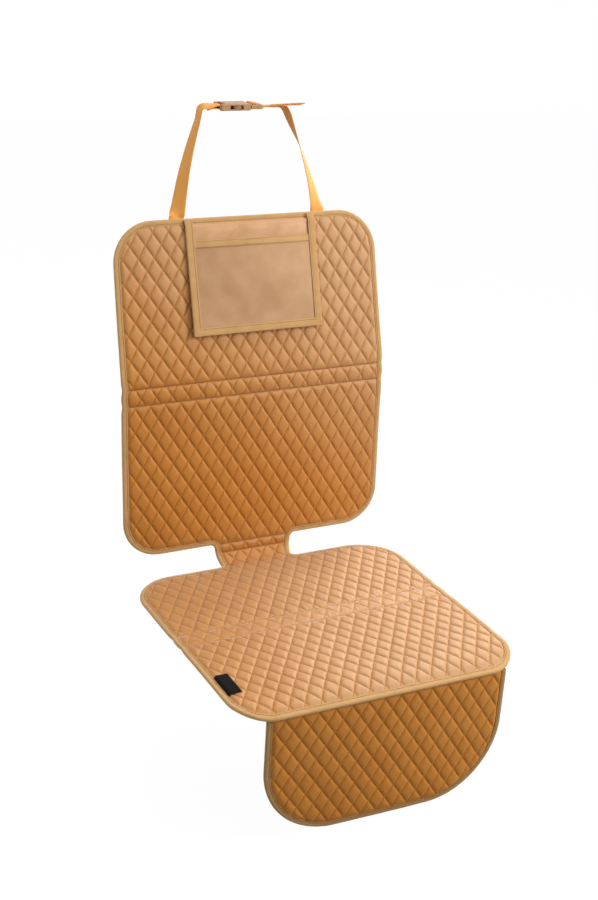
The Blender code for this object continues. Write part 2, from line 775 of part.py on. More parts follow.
def build_label():
    """The small sewn-in label at the seat's left edge, left bare."""
    ends = (LABEL_FROM_FRONT - LABEL_LENGTH / 2, LABEL_FROM_FRONT + LABEL_LENGTH / 2)
    widths = [SEAT_FRONT_WIDTH + (SEAT_REAR_WIDTH - SEAT_FRONT_WIDTH) * s / SEAT_LENGTH for s in ends]
    inner = -min(widths) / 2 + BINDING_WIDTH + CLEARANCE
    us = [inner + f * QUILT_TAPER for f in (0.0, 0.25, 0.5, 0.75, 1.0)]
    us.append(inner + LABEL_WIDTH)
    ss = steps(ends[0], ends[1], 2)

    def low(u, s):
        ahead = ease((u - inner) / QUILT_TAPER)
        return EDGE_TOP + 2 * CLEARANCE + (QUILT_TOP - EDGE_TOP) * ahead

    def high(u, s):
        return low(u, s) + LABEL_THICKNESS

    grid_sheet("side_label", on_sheet, us, ss, low, high, LABEL)


# Webbing


def spline(points, per_span):
    """Points on a smooth curve through the given ones, which are tuples of numbers."""
    full = [points[0]] + list(points) + [points[-1]]
    out = []
    for i in range(1, len(full) - 2):
        for k in range(per_span):
            t = k / per_span
            row = []
            for a, b, c, d in zip(full[i - 1], full[i], full[i + 1], full[i + 2]):
                row.append(
                    b + 0.5 * t * (c - a + t * (2 * a - 5 * b + 4 * c - d + t * (3 * (b - c) + d - a)))
                )
            out.append(tuple(row))
    out.append(tuple(points[-1]))
    return out


def webbing(name, stations):
    """A flat strap through stations of (centre, direction across)."""
    rings = []
    for i, (p, across) in enumerate(stations):
        ahead = stations[min(i + 1, len(stations) - 1)][0] - stations[max(i - 1, 0)][0]
        ahead.normalize()
        across = (across - ahead * across.dot(ahead)).normalized()
        up = across.cross(ahead)
        w = across * (WEBBING_WIDTH / 2)
        t = up * (WEBBING_THICKNESS / 2)
        rings.append([p - w - t, p + w - t, p + w + t, p - w + t])
    faces = []
    for k in range(len(rings) - 1):
        for j in range(4):
            a, b = 4 * k + j, 4 * k + (j + 1) % 4
            faces.append([b, a, a + 4, b + 4])
    last = 4 * len(rings) - 4
    faces += [[0, 1, 2, 3], [last + 3, last + 2, last + 1, last]]
    return add_object(name, [p for ring in rings for p in ring], faces, WEBBING)


SEWN_HEIGHT = WRAP_BOTTOM - CLEARANCE - WEBBING_THICKNESS / 2
STRAP_TOP = on_sheet(0.0, S_TOP + STRAP_RISE, SEWN_HEIGHT)
BACK_UP = (on_sheet(0.0, S_TOP + 1.0, 0.0) - on_sheet(0.0, S_TOP, 0.0)).normalized()
BACKWARD = Vector((0.0, BACK_UP.z, -BACK_UP.y))


def leg_stations(rows, per_span):
    """Stations of a strap's leg from rows of (u, height over the top edge, twist in degrees)."""
    made = []
    for u, q, twist in spline(rows, per_span):
        angle = math.radians(twist)
        across = Vector((math.cos(angle), 0.0, 0.0)) + BACKWARD * math.sin(angle)
        made.append((on_sheet(u, S_TOP + q, SEWN_HEIGHT), across))
    return made


def run_stations(run, low, high, across):
    """Stations of the level run from rows of (x, height): leaning as the leg does, then tilted up to the buckle."""
    made = []
    for i, (x, z) in enumerate(spline(run, 2)):
        away = max(low - x, x - high, 0.0)
        leg = ease(1 - i / (2 * CORNER_ROWS))
        tilt = RUN_TILT * (ease(away / RUN_TILT_LENGTH) - 2 * leg)
        side = Vector((0.0, across * math.cos(tilt), across * math.sin(tilt)))
        y = STRAP_TOP.y + leg * z / math.tan(UPPER_BACK_ANGLE)
        made.append((Vector((x, y, STRAP_TOP.z + z)), side))
    return made


def build_left_strap():
    """The left webbing: sewn behind the back, up, over, and round the socket's bar."""
    rows = [
        (-0.1268, -SEWN_LENGTH, 0.0),
        (-0.1222, -SEWN_LENGTH / 2, 0.0),
        (-0.1174, 0.0, 0.0),
        (-0.1163, 0.004, 0.0),
        (-0.1128, 0.016, -38.0),
        (-0.0993, 0.067, -63.0),
        (-0.0842, 0.111, -77.0),
        (-0.0688, 0.150, -89.0),
    ]
    stations = leg_stations(rows, 2)
    bar = BUCKLE_LEFT_END + BAR_FROM_END + BAR_LENGTH / 2
    over = BAR_HEIGHT / 2 + CLEARANCE + WEBBING_THICKNESS / 2
    side = BAR_LENGTH / 2 + CLEARANCE + WEBBING_THICKNESS / 2
    corner = CLEARANCE + 0.6 * WEBBING_THICKNESS
    run = [
        (-0.0664, -0.0090),
        (-0.0630, -0.0030),
        (-0.0570, 0.0000),
        (-0.0480, 0.0015),
        (bar - side, over),
        (bar + BAR_LENGTH / 2 - 0.0010, over + 0.0001),
        (bar + BAR_LENGTH / 2 + corner, BAR_HEIGHT / 2 + corner),
        (bar + side + 0.0002, 0.0),
        (bar + BAR_LENGTH / 2 + corner, -BAR_HEIGHT / 2 - corner),
        (bar + BAR_LENGTH / 2 - 0.0010, -over - 0.0001),
        (bar - BAR_LENGTH / 2, -over),
        (bar - side - 0.0030, -over + 0.0002),
        (-0.0480, -0.0008),
        (-0.0560, -0.0020),
    ]
    stations += run_stations(run, BUCKLE_LEFT_END, 1.0, -1.0)
    webbing("strap_left", stations)


def build_right_strap():
    """The right webbing: sewn behind the back, up with a half twist, left, round the clip's bar, and a free tail."""
    rows = [
        (0.1348, -SEWN_LENGTH, 0.0),
        (0.1312, -SEWN_LENGTH / 2, 0.0),
        (0.1280, 0.0, 0.0),
        (0.1273, 0.004, 0.0),
        (0.1254, 0.014, 20.0),
        (0.1202, 0.042, 38.0),
        (0.1125, 0.074, 51.0),
        (0.1031, 0.106, 62.0),
        (0.0924, 0.135, 80.0),
        (0.0869, 0.151, 89.0),
    ]
    stations = leg_stations(rows, 3)
    inner_end = BUCKLE_LEFT_END + SOCKET_LENGTH + CLEARANCE
    outer_end = inner_end + CLIP_LENGTH
    bar = inner_end + CLIP_END_WALL + CLIP_SLOT + CLIP_MIDDLE_BAR / 2
    half = WEBBING_THICKNESS / 2 + CLEARANCE
    middle = CLIP_BAR_BOTTOM + CLIP_BAR_HEIGHT / 2
    over = CLIP_BAR_HEIGHT / 2 + half
    side = CLIP_MIDDLE_BAR / 2 + half
    tail = CLIP_BAR_BOTTOM - half
    load = tail - 2 * half + CLEARANCE
    corner = CLEARANCE + 0.6 * WEBBING_THICKNESS
    turn = CLIP_MIDDLE_BAR / 2
    top = CLIP_BAR_BOTTOM + CLIP_BAR_HEIGHT
    run = [
        (0.0839, -0.0090),
        (0.0794, load - 0.0014),
        (0.0700, load),
        (outer_end, load),
        (bar + 0.0040, load),
        (bar - 0.3 * side, load + 0.0003),
        (bar - 0.9 * side, load + 0.0014),
        (bar - side - 0.0002, middle),
        (bar - turn - corner, top + corner),
        (bar - turn + 0.0008, middle + over + 0.0001),
        (bar + turn - 0.0008, middle + over + 0.0001),
        (bar + turn + corner, top + corner),
        (bar + side + 0.0003, middle),
        (bar + side + 0.0010, tail + 0.0010),
        (bar + side + 0.0040, tail),
        (outer_end, tail),
        (0.0700, tail + 0.0001),
        (0.0930, tail + 0.0008),
        (0.1134, tail + 0.0010),
    ]
    stations += run_stations(run, -1.0, outer_end, 1.0)
    webbing("strap_right", stations)


# Buckle


def block(name, x, y, z):
    """A box from three (low, high) pairs about the buckle's middle line."""
    return upright(name, [(x[0], y[0]), (x[1], y[0]), (x[1], y[1]), (x[0], y[1])], z)


def tab(name, x, y, z):
    """A prong's end: an ellipse as seen from above, of the prong's height."""
    middle_x, reach_x = (x[0] + x[1]) / 2, (x[1] - x[0]) / 2
    middle_y, reach_y = (y[0] + y[1]) / 2, (y[1] - y[0]) / 2
    turns = [2 * math.pi * i / 16 for i in range(16)]
    spots = [(middle_x + reach_x * math.cos(a), middle_y + reach_y * math.sin(a)) for a in turns]
    return upright(name, spots, z)


def upright(name, spots, z, bevel=0.0):
    """A solid of constant section: anticlockwise (x, y) spots about the buckle's middle line, from z low to high."""
    count = len(spots)
    points = [(x, STRAP_TOP.y + y, STRAP_TOP.z + height) for height in z for x, y in spots]
    faces = [list(range(count))[::-1], list(range(count, 2 * count))]
    faces += [[i, (i + 1) % count, count + (i + 1) % count, count + i] for i in range(count)]
    made = add_object(name, points, faces, PLASTIC)
    if bevel:
        rounding = made.modifiers.new("rounding", "BEVEL")
        rounding.width = bevel
        rounding.segments = 2
    return made


def body(name, x, radii, half, z):
    """A buckle half's body, its two left and two right corners rounded as seen from above."""
    corners = [(x[0], -half, radii[0]), (x[1], -half, radii[1]), (x[1], half, radii[1]), (x[0], half, radii[0])]
    return upright(name, [tuple(p) for p in rounded(corners, (), 4)], z, BUCKLE_BEVEL)


def combine(target, other, operation):
    """Cuts or joins another solid, which is then hidden from the model."""
    change = target.modifiers.new(other.name, "BOOLEAN")
    change.operation = operation
    change.solver = "EXACT"
    change.object = other
    other.hide_render = True
    other.display_type = "WIRE"


def build_socket():
    """The socket: a shell open to the right, a window in each side and a bar for the sewn webbing."""
    left = BUCKLE_LEFT_END
    right = left + SOCKET_LENGTH
    half = SOCKET_WIDTH / 2
    tall = SOCKET_HEIGHT / 2
    slot = WEBBING_WIDTH / 2 + SLOT_CLEARANCE
    socket = body("buckle_socket", (left, right), (BUCKLE_CORNER, 0.0015), half, (-tall, tall))
    inside = half - SOCKET_WALL
    room = tall - SOCKET_FLOOR
    begin = left + SOCKET_RECESS + SOCKET_FLOOR
    cavity = block("cavity_cutter", (begin, right + 0.01), (-inside, inside), (-room, room))
    combine(socket, cavity, "DIFFERENCE")
    window = (left + WINDOW_FROM_END, left + WINDOW_FROM_END + WINDOW_LENGTH)
    windows = block("window_cutter", window, (-2 * half, 2 * half), (-WINDOW_HEIGHT / 2, WINDOW_HEIGHT / 2))
    combine(socket, windows, "DIFFERENCE")
    recess = block("recess_cutter", (left - 0.01, left + SOCKET_RECESS), (-slot, slot), (-2 * tall, 2 * tall))
    combine(socket, recess, "DIFFERENCE")
    bar_x = (left + BAR_FROM_END, left + BAR_FROM_END + BAR_LENGTH)
    bar = block("socket_bar_blank", bar_x, (-slot - 0.001, slot + 0.001), (-BAR_HEIGHT / 2, BAR_HEIGHT / 2))
    combine(socket, bar, "UNION")


def build_clip():
    """The clip: a slotted frame for the adjusting webbing, two prongs and a guide that enter the socket."""
    left = BUCKLE_LEFT_END + SOCKET_LENGTH + CLEARANCE
    right = left + CLIP_LENGTH
    half = SOCKET_WIDTH / 2
    tall = CLIP_HEIGHT / 2
    slot = WEBBING_WIDTH / 2 + SLOT_CLEARANCE
    clip = body("buckle_clip", (left, right), (0.0015, BUCKLE_CORNER), half, (-tall, tall))
    opening_left = left + CLIP_END_WALL
    frame = block("clip_cutter", (opening_left, right + 0.01), (-slot, slot), (-2 * tall, 2 * tall))
    combine(clip, frame, "DIFFERENCE")
    middle = opening_left + CLIP_SLOT
    outer = middle + CLIP_MIDDLE_BAR + CLIP_OUTER_SLOT
    bars = [("middle_bar_blank", middle, middle + CLIP_MIDDLE_BAR, CLIP_BAR_BOTTOM + CLIP_BAR_HEIGHT)]
    bars.append(("outer_bar_blank", outer, right - BUCKLE_BEVEL, tall - 0.0004))
    for name, low, high, top in bars:
        bar = block(name, (low, high), (-slot - 0.001, slot + 0.001), (CLIP_BAR_BOTTOM, top))
        combine(clip, bar, "UNION")
    room = SOCKET_HEIGHT / 2 - SOCKET_FLOOR - SLIDE_CLEARANCE
    reach = half - SOCKET_WALL - SLIDE_CLEARANCE
    tip = left - PRONG_REACH
    thick = (-room, room)
    guide = block("guide_blank", (left - GUIDE_REACH, left + 0.001), (-GUIDE_WIDTH / 2, GUIDE_WIDTH / 2), thick)
    combine(clip, guide, "UNION")
    for side, word in ((-1, "near"), (1, "far")):
        inner = reach - PRONG_TAB_DEPTH / 2 - PRONG_WIDTH / 2
        across = sorted((side * inner, side * (inner + PRONG_WIDTH)))
        arm = block(word + "_prong_blank", (tip + PRONG_TAB_LENGTH / 2, left + 0.001), across, thick)
        combine(clip, arm, "UNION")
        across = sorted((side * (reach - PRONG_TAB_DEPTH), side * reach))
        end = tab(word + "_tab_blank", (tip, tip + PRONG_TAB_LENGTH), across, thick)
        combine(clip, end, "UNION")


clear_scene()
build_mat()
build_flap()
build_pocket()
build_label()
build_left_strap()
build_right_strap()
build_socket()
build_clip()
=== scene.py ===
"""Looks of a car seat protector mat: quilting, taped edges, flap, pocket, label, webbing and buckle."""

import logging
import math
from dataclasses import dataclass, field
from enum import Enum
from typing import Callable

import bpy
import numpy as np
from mathutils import Matrix, Vector


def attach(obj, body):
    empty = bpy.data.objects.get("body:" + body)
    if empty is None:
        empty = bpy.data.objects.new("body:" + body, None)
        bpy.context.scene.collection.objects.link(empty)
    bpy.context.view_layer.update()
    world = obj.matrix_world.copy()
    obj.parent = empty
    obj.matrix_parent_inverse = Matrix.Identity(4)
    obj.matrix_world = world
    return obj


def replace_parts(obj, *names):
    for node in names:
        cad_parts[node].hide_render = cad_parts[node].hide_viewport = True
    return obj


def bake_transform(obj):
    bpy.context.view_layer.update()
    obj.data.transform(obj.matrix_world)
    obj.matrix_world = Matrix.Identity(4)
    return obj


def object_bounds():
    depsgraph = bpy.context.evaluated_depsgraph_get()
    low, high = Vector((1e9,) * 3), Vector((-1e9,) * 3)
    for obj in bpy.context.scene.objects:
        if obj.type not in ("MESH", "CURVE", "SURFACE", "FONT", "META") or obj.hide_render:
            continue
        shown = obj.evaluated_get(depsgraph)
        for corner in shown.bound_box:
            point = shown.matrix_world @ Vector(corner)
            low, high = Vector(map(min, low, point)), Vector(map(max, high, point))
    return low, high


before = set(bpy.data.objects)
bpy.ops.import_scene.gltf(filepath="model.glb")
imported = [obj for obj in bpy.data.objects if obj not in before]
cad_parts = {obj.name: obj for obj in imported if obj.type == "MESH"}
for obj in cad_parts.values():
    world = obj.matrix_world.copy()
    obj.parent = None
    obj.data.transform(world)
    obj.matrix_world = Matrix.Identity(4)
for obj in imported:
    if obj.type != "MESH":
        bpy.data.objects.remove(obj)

CAD_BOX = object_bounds()
Array = np.ndarray
Place = Callable[[Array, Array, Array], Array]
log = logging.getLogger("seat mat")


def ease(x: Array) -> Array:
    """A smooth step from 0 to 1."""
    x = np.clip(x, 0.0, 1.0)
    return x * x * (3 - 2 * x)


def hashed(a: Array, b: Array, seed: float) -> Array:
    """An even spread from 0 to 1 for each pair of whole numbers: the fraction of a large sine."""
    wide = np.sin(a * 12.9898 + b * 78.233 + seed) * 43758.5453
    return wide - np.floor(wide)


class Body(Enum):
    """The bodies of the frame."""

    MAT = "mat"
    CLIP = "clip"


class Slot(Enum):
    """The record's material slots."""

    LEATHER = "quilted_leather"
    BACKING = "backing"
    TAPE = "tape"
    CLOTH = "pocket_cloth"
    LABEL = "label"
    WEBBING = "webbing"
    PLASTIC = "buckle_plastic"


# The mat's side curve and its flat patterns


@dataclass(frozen=True)
class SideCurve:
    """The line of the mat's underside seen from the side, from the front edge up to the top edge."""

    seat_length: float = 0.434
    front_roll_length: float = 0.036
    front_roll_angle: float = math.radians(22)
    neck_bend_radius: float = 0.024
    neck_straight: float = 0.011
    lower_back_angle: float = math.radians(87.4)
    lower_back_length: float = 0.254
    middle_fold_width: float = 0.0265
    upper_back_angle: float = math.radians(75.7)
    upper_back_length: float = 0.254
    back_bend_length: float = 0.030

    @property
    def neck_bend_length(self) -> float:
        """Length of the bend at the neck."""
        return self.neck_bend_radius * self.lower_back_angle

    @property
    def back_start(self) -> float:
        """Where the back part starts."""
        return self.seat_length + self.neck_bend_length + self.neck_straight

    @property
    def fold_start(self) -> float:
        """Where the back's fold strip starts."""
        return self.back_start + self.lower_back_length

    @property
    def upper_start(self) -> float:
        """Where the upper back starts."""
        return self.fold_start + self.middle_fold_width

    @property
    def top(self) -> float:
        """Where the mat ends."""
        return self.upper_start + self.upper_back_length

    def stretches(self) -> list[tuple[float, float]]:
        """Lengths and turns of the curve's arcs, with a straight lead-in and run-out of a metre each.

        Returns:
            Pairs of length and turn, in order.
        """
        bend_start = self.upper_start - self.back_bend_length / 3
        return [
            (1.0, 0.0),
            (self.front_roll_length, -self.front_roll_angle),
            (self.seat_length - self.front_roll_length, 0.0),
            (self.neck_bend_length, self.lower_back_angle),
            (bend_start - self.seat_length - self.neck_bend_length, 0.0),
            (self.back_bend_length, self.upper_back_angle - self.lower_back_angle),
            (1.0, 0.0),
        ]

    def at(self, s: Array) -> tuple[Array, Array, Array]:
        """Places and angles along the curve: each stretch adds its arc as far as s reaches into it.

        Args:
            s: distances from the front edge.

        Returns:
            Arrays of y, z and angle.
        """
        start = self.front_roll_angle
        y = np.full_like(s, -math.cos(start))
        z = np.full_like(s, -math.sin(start))
        angle = np.full_like(s, start)
        left = s + 1.0
        for length, turn in self.stretches():
            part = np.clip(left, 0.0, length)
            if turn == 0.0:
                y = y + part * math.cos(start)
                z = z + part * math.sin(start)
            else:
                radius = length / turn
                end = start + turn * part / length
                y = y + radius * (np.sin(end) - math.sin(start))
                z = z - radius * (np.cos(end) - math.cos(start))
            angle = angle + turn * part / length
            start += turn
            left = left - length
        return y, z, angle


CURVE = SideCurve()


@dataclass(frozen=True)
class Corner:
    """A corner of a cut pattern: across, along and radius."""

    u: float
    s: float
    radius: float = 0.0


class Outline:
    """A closed flat outline as an array of points, anticlockwise."""

    def __init__(self, points: Array) -> None:
        """Keeps the points."""
        self.points = points

    @classmethod
    def rounded(cls, corners: list[Corner], step: float = 0.003) -> "Outline":
        """Rounds each corner with an arc of its radius and leaves the sides straight.

        Args:
            corners: the pattern's corners, anticlockwise.
            step: the longest chord of an arc.

        Returns:
            The outline.
        """
        spots = [Vector((c.u, c.s)) for c in corners]
        parts = []
        for i, corner in enumerate(corners):
            spot = spots[i]
            if corner.radius == 0.0:
                parts.append(np.array([spot]))
                continue
            a = (spots[i - 1] - spot).normalized()
            b = (spots[(i + 1) % len(spots)] - spot).normalized()
            half = a.angle(b) / 2
            centre = spot + (a + b).normalized() * (corner.radius / math.sin(half))
            start = spot + a * (corner.radius / math.tan(half)) - centre
            turn = math.pi - 2 * half
            turn *= 1 if a.x * b.y - a.y * b.x < 0 else -1
            count = max(4, math.ceil(corner.radius * abs(turn) / step))
            angle = np.linspace(0.0, turn, count + 1)
            x = centre.x + start.x * np.cos(angle) - start.y * np.sin(angle)
            y = centre.y + start.x * np.sin(angle) + start.y * np.cos(angle)
            parts.append(np.column_stack([x, y]))
        return cls(np.concatenate(parts))

    def inside(self, flat: Array) -> Array:
        """Finds the points inside: a ray to their right crosses the outline an odd number of times.

        Args:
            flat: flat points, one row each.

        Returns:
            True for each point inside.
        """
        found = np.zeros(len(flat), bool)
        for (ax, ay), (bx, by) in zip(self.points, np.roll(self.points, -1, axis=0)):
            if ay == by:
                continue
            between = (ay > flat[:, 1]) != (by > flat[:, 1])
            found ^= between & (flat[:, 0] < (bx - ax) * (flat[:, 1] - ay) / (by - ay) + ax)
        return found

    def nearest(self, flat: Array) -> tuple[Array, Array]:
        """Finds the nearest place of the outline by trying each of its sides.

        Args:
            flat: flat points, one row each.

        Returns:
            The distance from each point, and the outline's point there.
        """
        best = np.full(len(flat), 1.0)
        foot = flat.copy()
        for a, b in zip(self.points, np.roll(self.points, -1, axis=0)):
            side = b - a
            share = np.clip((flat - a) @ side / max(side @ side, 1e-18), 0.0, 1.0)
            spot = a + share[:, None] * side
            distance = np.linalg.norm(flat - spot, axis=1)
            closer = distance < best
            best = np.where(closer, distance, best)
            foot = np.where(closer[:, None], spot, foot)
        return best, foot

    def depth(self, flat: Array) -> Array:
        """How deep inside each flat point is, and 0 outside."""
        return np.where(self.inside(flat), self.nearest(flat)[0], 0.0)

    def between(self, low: float, high: float) -> "Outline":
        """The part of the outline between two levels: each side is cut where it crosses a level.

        Args:
            low: the lower level.
            high: the upper level.

        Returns:
            The smaller outline.
        """
        points = self.points
        for level, keep in ((low, 1.0), (high, -1.0)):
            reach = keep * (points[:, 1] - level)
            ahead = np.roll(points, -1, axis=0)
            far = np.roll(reach, -1)
            crossing = (reach >= 0) != (far >= 0)
            share = np.where(crossing, reach / np.where(crossing, reach - far, 1.0), 0.0)
            cut = points + share[:, None] * (ahead - points)
            both = np.stack([points, cut], axis=1).reshape(-1, 2)
            kept = np.stack([reach >= 0, crossing], axis=1).ravel()
            points = both[kept]
        return Outline(points)

    def path(self, step: float) -> Array:
        """The outline's points with its long sides divided evenly.

        Args:
            step: the longest distance between two points.

        Returns:
            The points, without repeats.
        """
        parts = []
        for a, b in zip(self.points, np.roll(self.points, -1, axis=0)):
            count = max(1, math.ceil(float(np.linalg.norm(b - a)) / step - 1e-6))
            parts.append(a + (b - a) * (np.arange(count) / count)[:, None])
        path = np.concatenate(parts)
        gap = np.linalg.norm(path - np.roll(path, 1, axis=0), axis=1)
        return path[gap > 1e-6]

    def area(self) -> float:
        """The area inside, by the sum of its sides' cross products."""
        x, y = self.points.T
        return float(abs(np.sum(x * np.roll(y, -1) - y * np.roll(x, -1))) / 2)


def inset(corners: list[Corner], distance: float, keep: tuple[int, ...] = ()) -> list[Corner]:
    """Moves a pattern's sides inwards.

    Args:
        corners: the pattern's corners, anticlockwise.
        distance: how far each side moves in.
        keep: numbers of the sides that stay.

    Returns:
        The smaller pattern's corners.
    """
    count = len(corners)
    sides = []
    for i in range(count):
        a = Vector((corners[i].u, corners[i].s))
        b = Vector((corners[(i + 1) % count].u, corners[(i + 1) % count].s))
        along = (b - a).normalized()
        sides.append((a + Vector((-along.y, along.x)) * (0.0 if i in keep else distance), along))
    moved = []
    for i in range(count):
        (p, a), (q, b) = sides[i - 1], sides[i]
        cross = a.x * b.y - a.y * b.x
        spot = p + a * (((q.x - p.x) * b.y - (q.y - p.y) * b.x) / cross)
        radius = corners[i].radius
        if radius:
            radius = max(radius - distance, 0.001) if cross > 0 else radius + distance
        moved.append(Corner(spot.x, spot.y, radius))
    return moved


@dataclass(frozen=True)
class Layers:
    """Heights of the mat's layers above its underside."""

    sheet_bottom: float = 0.0011
    edge_top: float = 0.0036
    stitch_top: float = 0.0045
    quilt_rise: float = 0.0028
    tape_bottom: float = -0.0011
    tape_top: float = 0.0047
    tape_wall: float = 0.0008
    backing_top: float = 0.0008
    hidden_inset: float = 0.0024

    @property
    def quilt_top(self) -> float:
        """Height of a pillow's middle."""
        return self.stitch_top + self.quilt_rise


LAYERS = Layers()


@dataclass(frozen=True)
class MatPattern:
    """The cut outline of the mat, measured over its binding, and its stitched folds."""

    seat_front_width: float = 0.462
    seat_rear_width: float = 0.467
    back_top_width: float = 0.451
    back_middle_width: float = 0.462
    back_bottom_width: float = 0.459
    back_shift: float = 0.001
    neck_top_width: float = 0.140
    neck_bottom_width: float = 0.124
    neck_shift: float = -0.001
    neck_flat: float = 0.003
    seat_front_corner: float = 0.056
    seat_rear_corner: float = 0.072
    back_top_corner: float = 0.066
    back_bottom_corner: float = 0.062
    neck_fillet: float = 0.009
    binding_width: float = 0.0094
    seat_fold_from_front: float = 0.213
    seat_fold_width: float = 0.033
    neck_fold_width: float = 0.016
    fold_pinch: float = 0.0014
    pinch_length: float = 0.007
    sway: float = 0.0005
    droop: float = 0.0048
    droop_slope: float = 0.016

    def corners(self) -> list[Corner]:
        """The cut outline's corners from the seat's front right; both sides share rows of shift and width.

        Returns:
            The corners, anticlockwise.
        """
        rear = CURVE.seat_length - self.neck_flat
        middle = (CURVE.fold_start + CURVE.upper_start) / 2
        rows = [
            (0.0, self.seat_front_width, 0.0, self.seat_front_corner),
            (0.0, self.seat_rear_width, rear, self.seat_rear_corner),
            (self.neck_shift, self.neck_bottom_width, rear, self.neck_fillet),
            (self.neck_shift, self.neck_top_width, CURVE.back_start, self.neck_fillet),
            (self.back_shift, self.back_bottom_width, CURVE.back_start, self.back_bottom_corner),
            (self.back_shift, self.back_middle_width, middle, 0.0),
            (self.back_shift, self.back_top_width, CURVE.top, self.back_top_corner),
        ]
        right = [Corner(shift + width / 2, s, radius) for shift, width, s, radius in rows]
        left = [Corner(shift - width / 2, s, radius) for shift, width, s, radius in reversed(rows)]
        return right + left

    def folds(self) -> list[float]:
        """Levels of the stitched lines across the mat, two for each fold.

        Returns:
            Six distances from the front edge, in order.
        """
        seat = [self.seat_fold_from_front, self.seat_fold_from_front + self.seat_fold_width]
        neck = [CURVE.back_start - self.neck_fold_width, CURVE.back_start]
        return seat + neck + [CURVE.fold_start, CURVE.upper_start]

    def wander(self, u: Array, number: int) -> Array:
        """How far a fold's stitched line strays: the seat part's two wander, the others run straight.

        Args:
            u: distances across.
            number: the fold line's number.

        Returns:
            Distances along the mat.
        """
        if number > 1:
            return 0 * u
        slow = 0.0011 * np.sin(205.0 * u + 2.1 * number) * np.sin(47.0 * u + 0.6)
        return slow + 0.0006 * np.sin(430.0 * u - number)

    def place(self, u: Array, s: Array, n: Array) -> Array:
        """Lays flat points over the side curve, pulled in at the folds, swaying and sagging at the front.

        Args:
            u: distances across.
            s: distances along from the front edge.
            n: heights above the underside.

        Returns:
            Points in the row frame, with the coordinates last.
        """
        u, s, n = np.broadcast_arrays(np.asarray(u, float), np.asarray(s, float), np.asarray(n, float))
        pulled = self.folds()[:2] + self.folds()[4:]
        pull = sum(np.exp(-(((s - fold) / self.pinch_length) ** 2)) for fold in pulled)
        far = ease((np.abs(u) - 0.10) / 0.10)
        x = u - np.sign(u) * self.fold_pinch * pull * far
        lift = self.sway * (np.sin(23.0 * u + 9.0 * s + 0.7) + np.sin(31.0 * s - 13.0 * u)) * far
        lift = lift * ease((s - 0.02) / 0.05)
        front = (self.droop + self.droop_slope * u) * ease((0.060 - s) / 0.060)
        y, z, angle = CURVE.at(s)
        middle = CURVE.at(np.array([CURVE.seat_length / 2]))
        height = n + lift
        y = y - height * np.sin(angle) - middle[0][0]
        z = z + height * np.cos(angle) - middle[1][0] - front
        return np.stack([x, y, z], axis=-1)


MAT = MatPattern()


# Meshes from whole arrays


def add_mesh(
    name: str, points: Array, faces: list[Array], maps: dict[str, Array], walls: Array | None = None
) -> bpy.types.Object:
    """Makes a smooth mesh object at the origin.

    Args:
        name: the piece's name.
        points: its points, one row each.
        faces: arrays of faces, each with the same number of corners in every row.
        maps: UV maps as one row for each point.
        walls: whether each face is a wall, shaded flat so that the faces beside it keep their shading.

    Returns:
        The object.
    """
    mesh = bpy.data.meshes.new(name)
    rows = [row for part in faces for row in part.tolist()]
    mesh.from_pydata(points.reshape(-1, 3).tolist(), [], rows)
    mesh.update()
    corner = np.empty(len(mesh.loops), np.int32)
    mesh.loops.foreach_get("vertex_index", corner)
    for key, values in maps.items():
        layer = mesh.uv_layers.new(name=key)
        layer.data.foreach_set("uv", values.reshape(-1, 2)[corner].astype(np.float32).ravel())
    mesh.shade_smooth()
    if walls is not None:
        mesh.polygons.foreach_set("use_smooth", ~walls)
    made = bpy.data.objects.new(name, mesh)
    bpy.context.scene.collection.objects.link(made)
    return made


def split_quads(quads: Array) -> Array:
    """Two triangles for each quad, without those that have shrunk to a line.

    Args:
        quads: the quads, one row each.

    Returns:
        The triangles, one row each.
    """
    halves = np.concatenate([quads[:, [0, 1, 2]], quads[:, [0, 2, 3]]])
    a, b, c = halves.T
    return halves[(a != b) & (b != c) & (c != a)]


def shell(top: Array, bottom: Array, triangles: Array) -> tuple[Array, list[Array]]:
    """Closes two layers of the same triangles round their rim.

    Args:
        top: points of the upper layer.
        bottom: points of the lower layer, in the same order.
        triangles: the upper layer's faces, anticlockwise from above.

    Returns:
        All points, and the faces of both layers and the rim.
    """
    count = len(top)
    edges = np.concatenate([triangles[:, [0, 1]], triangles[:, [1, 2]], triangles[:, [2, 0]]])
    code = edges[:, 0] * count + edges[:, 1]
    back = edges[:, 1] * count + edges[:, 0]
    rim = edges[~np.isin(code, back)]
    side = np.column_stack([rim[:, 1], rim[:, 0], rim[:, 0] + count, rim[:, 1] + count])
    return np.concatenate([top, bottom]), [triangles, triangles[:, ::-1] + count, side]


def grid_quads(rows: int, columns: int, wrap: bool) -> Array:
    """Quads of a grid stored row by row.

    Args:
        rows: how many rows of points there are.
        columns: how many points there are in a row.
        wrap: whether each row's end joins its start.

    Returns:
        The quads, one row each.
    """
    width = columns if wrap else columns - 1
    i, j = np.meshgrid(np.arange(rows - 1), np.arange(width), indexing="ij")
    here = i * columns + j
    beside = i * columns + (j + 1) % columns
    return np.stack([here, beside, beside + columns, here + columns], axis=-1).reshape(-1, 4)


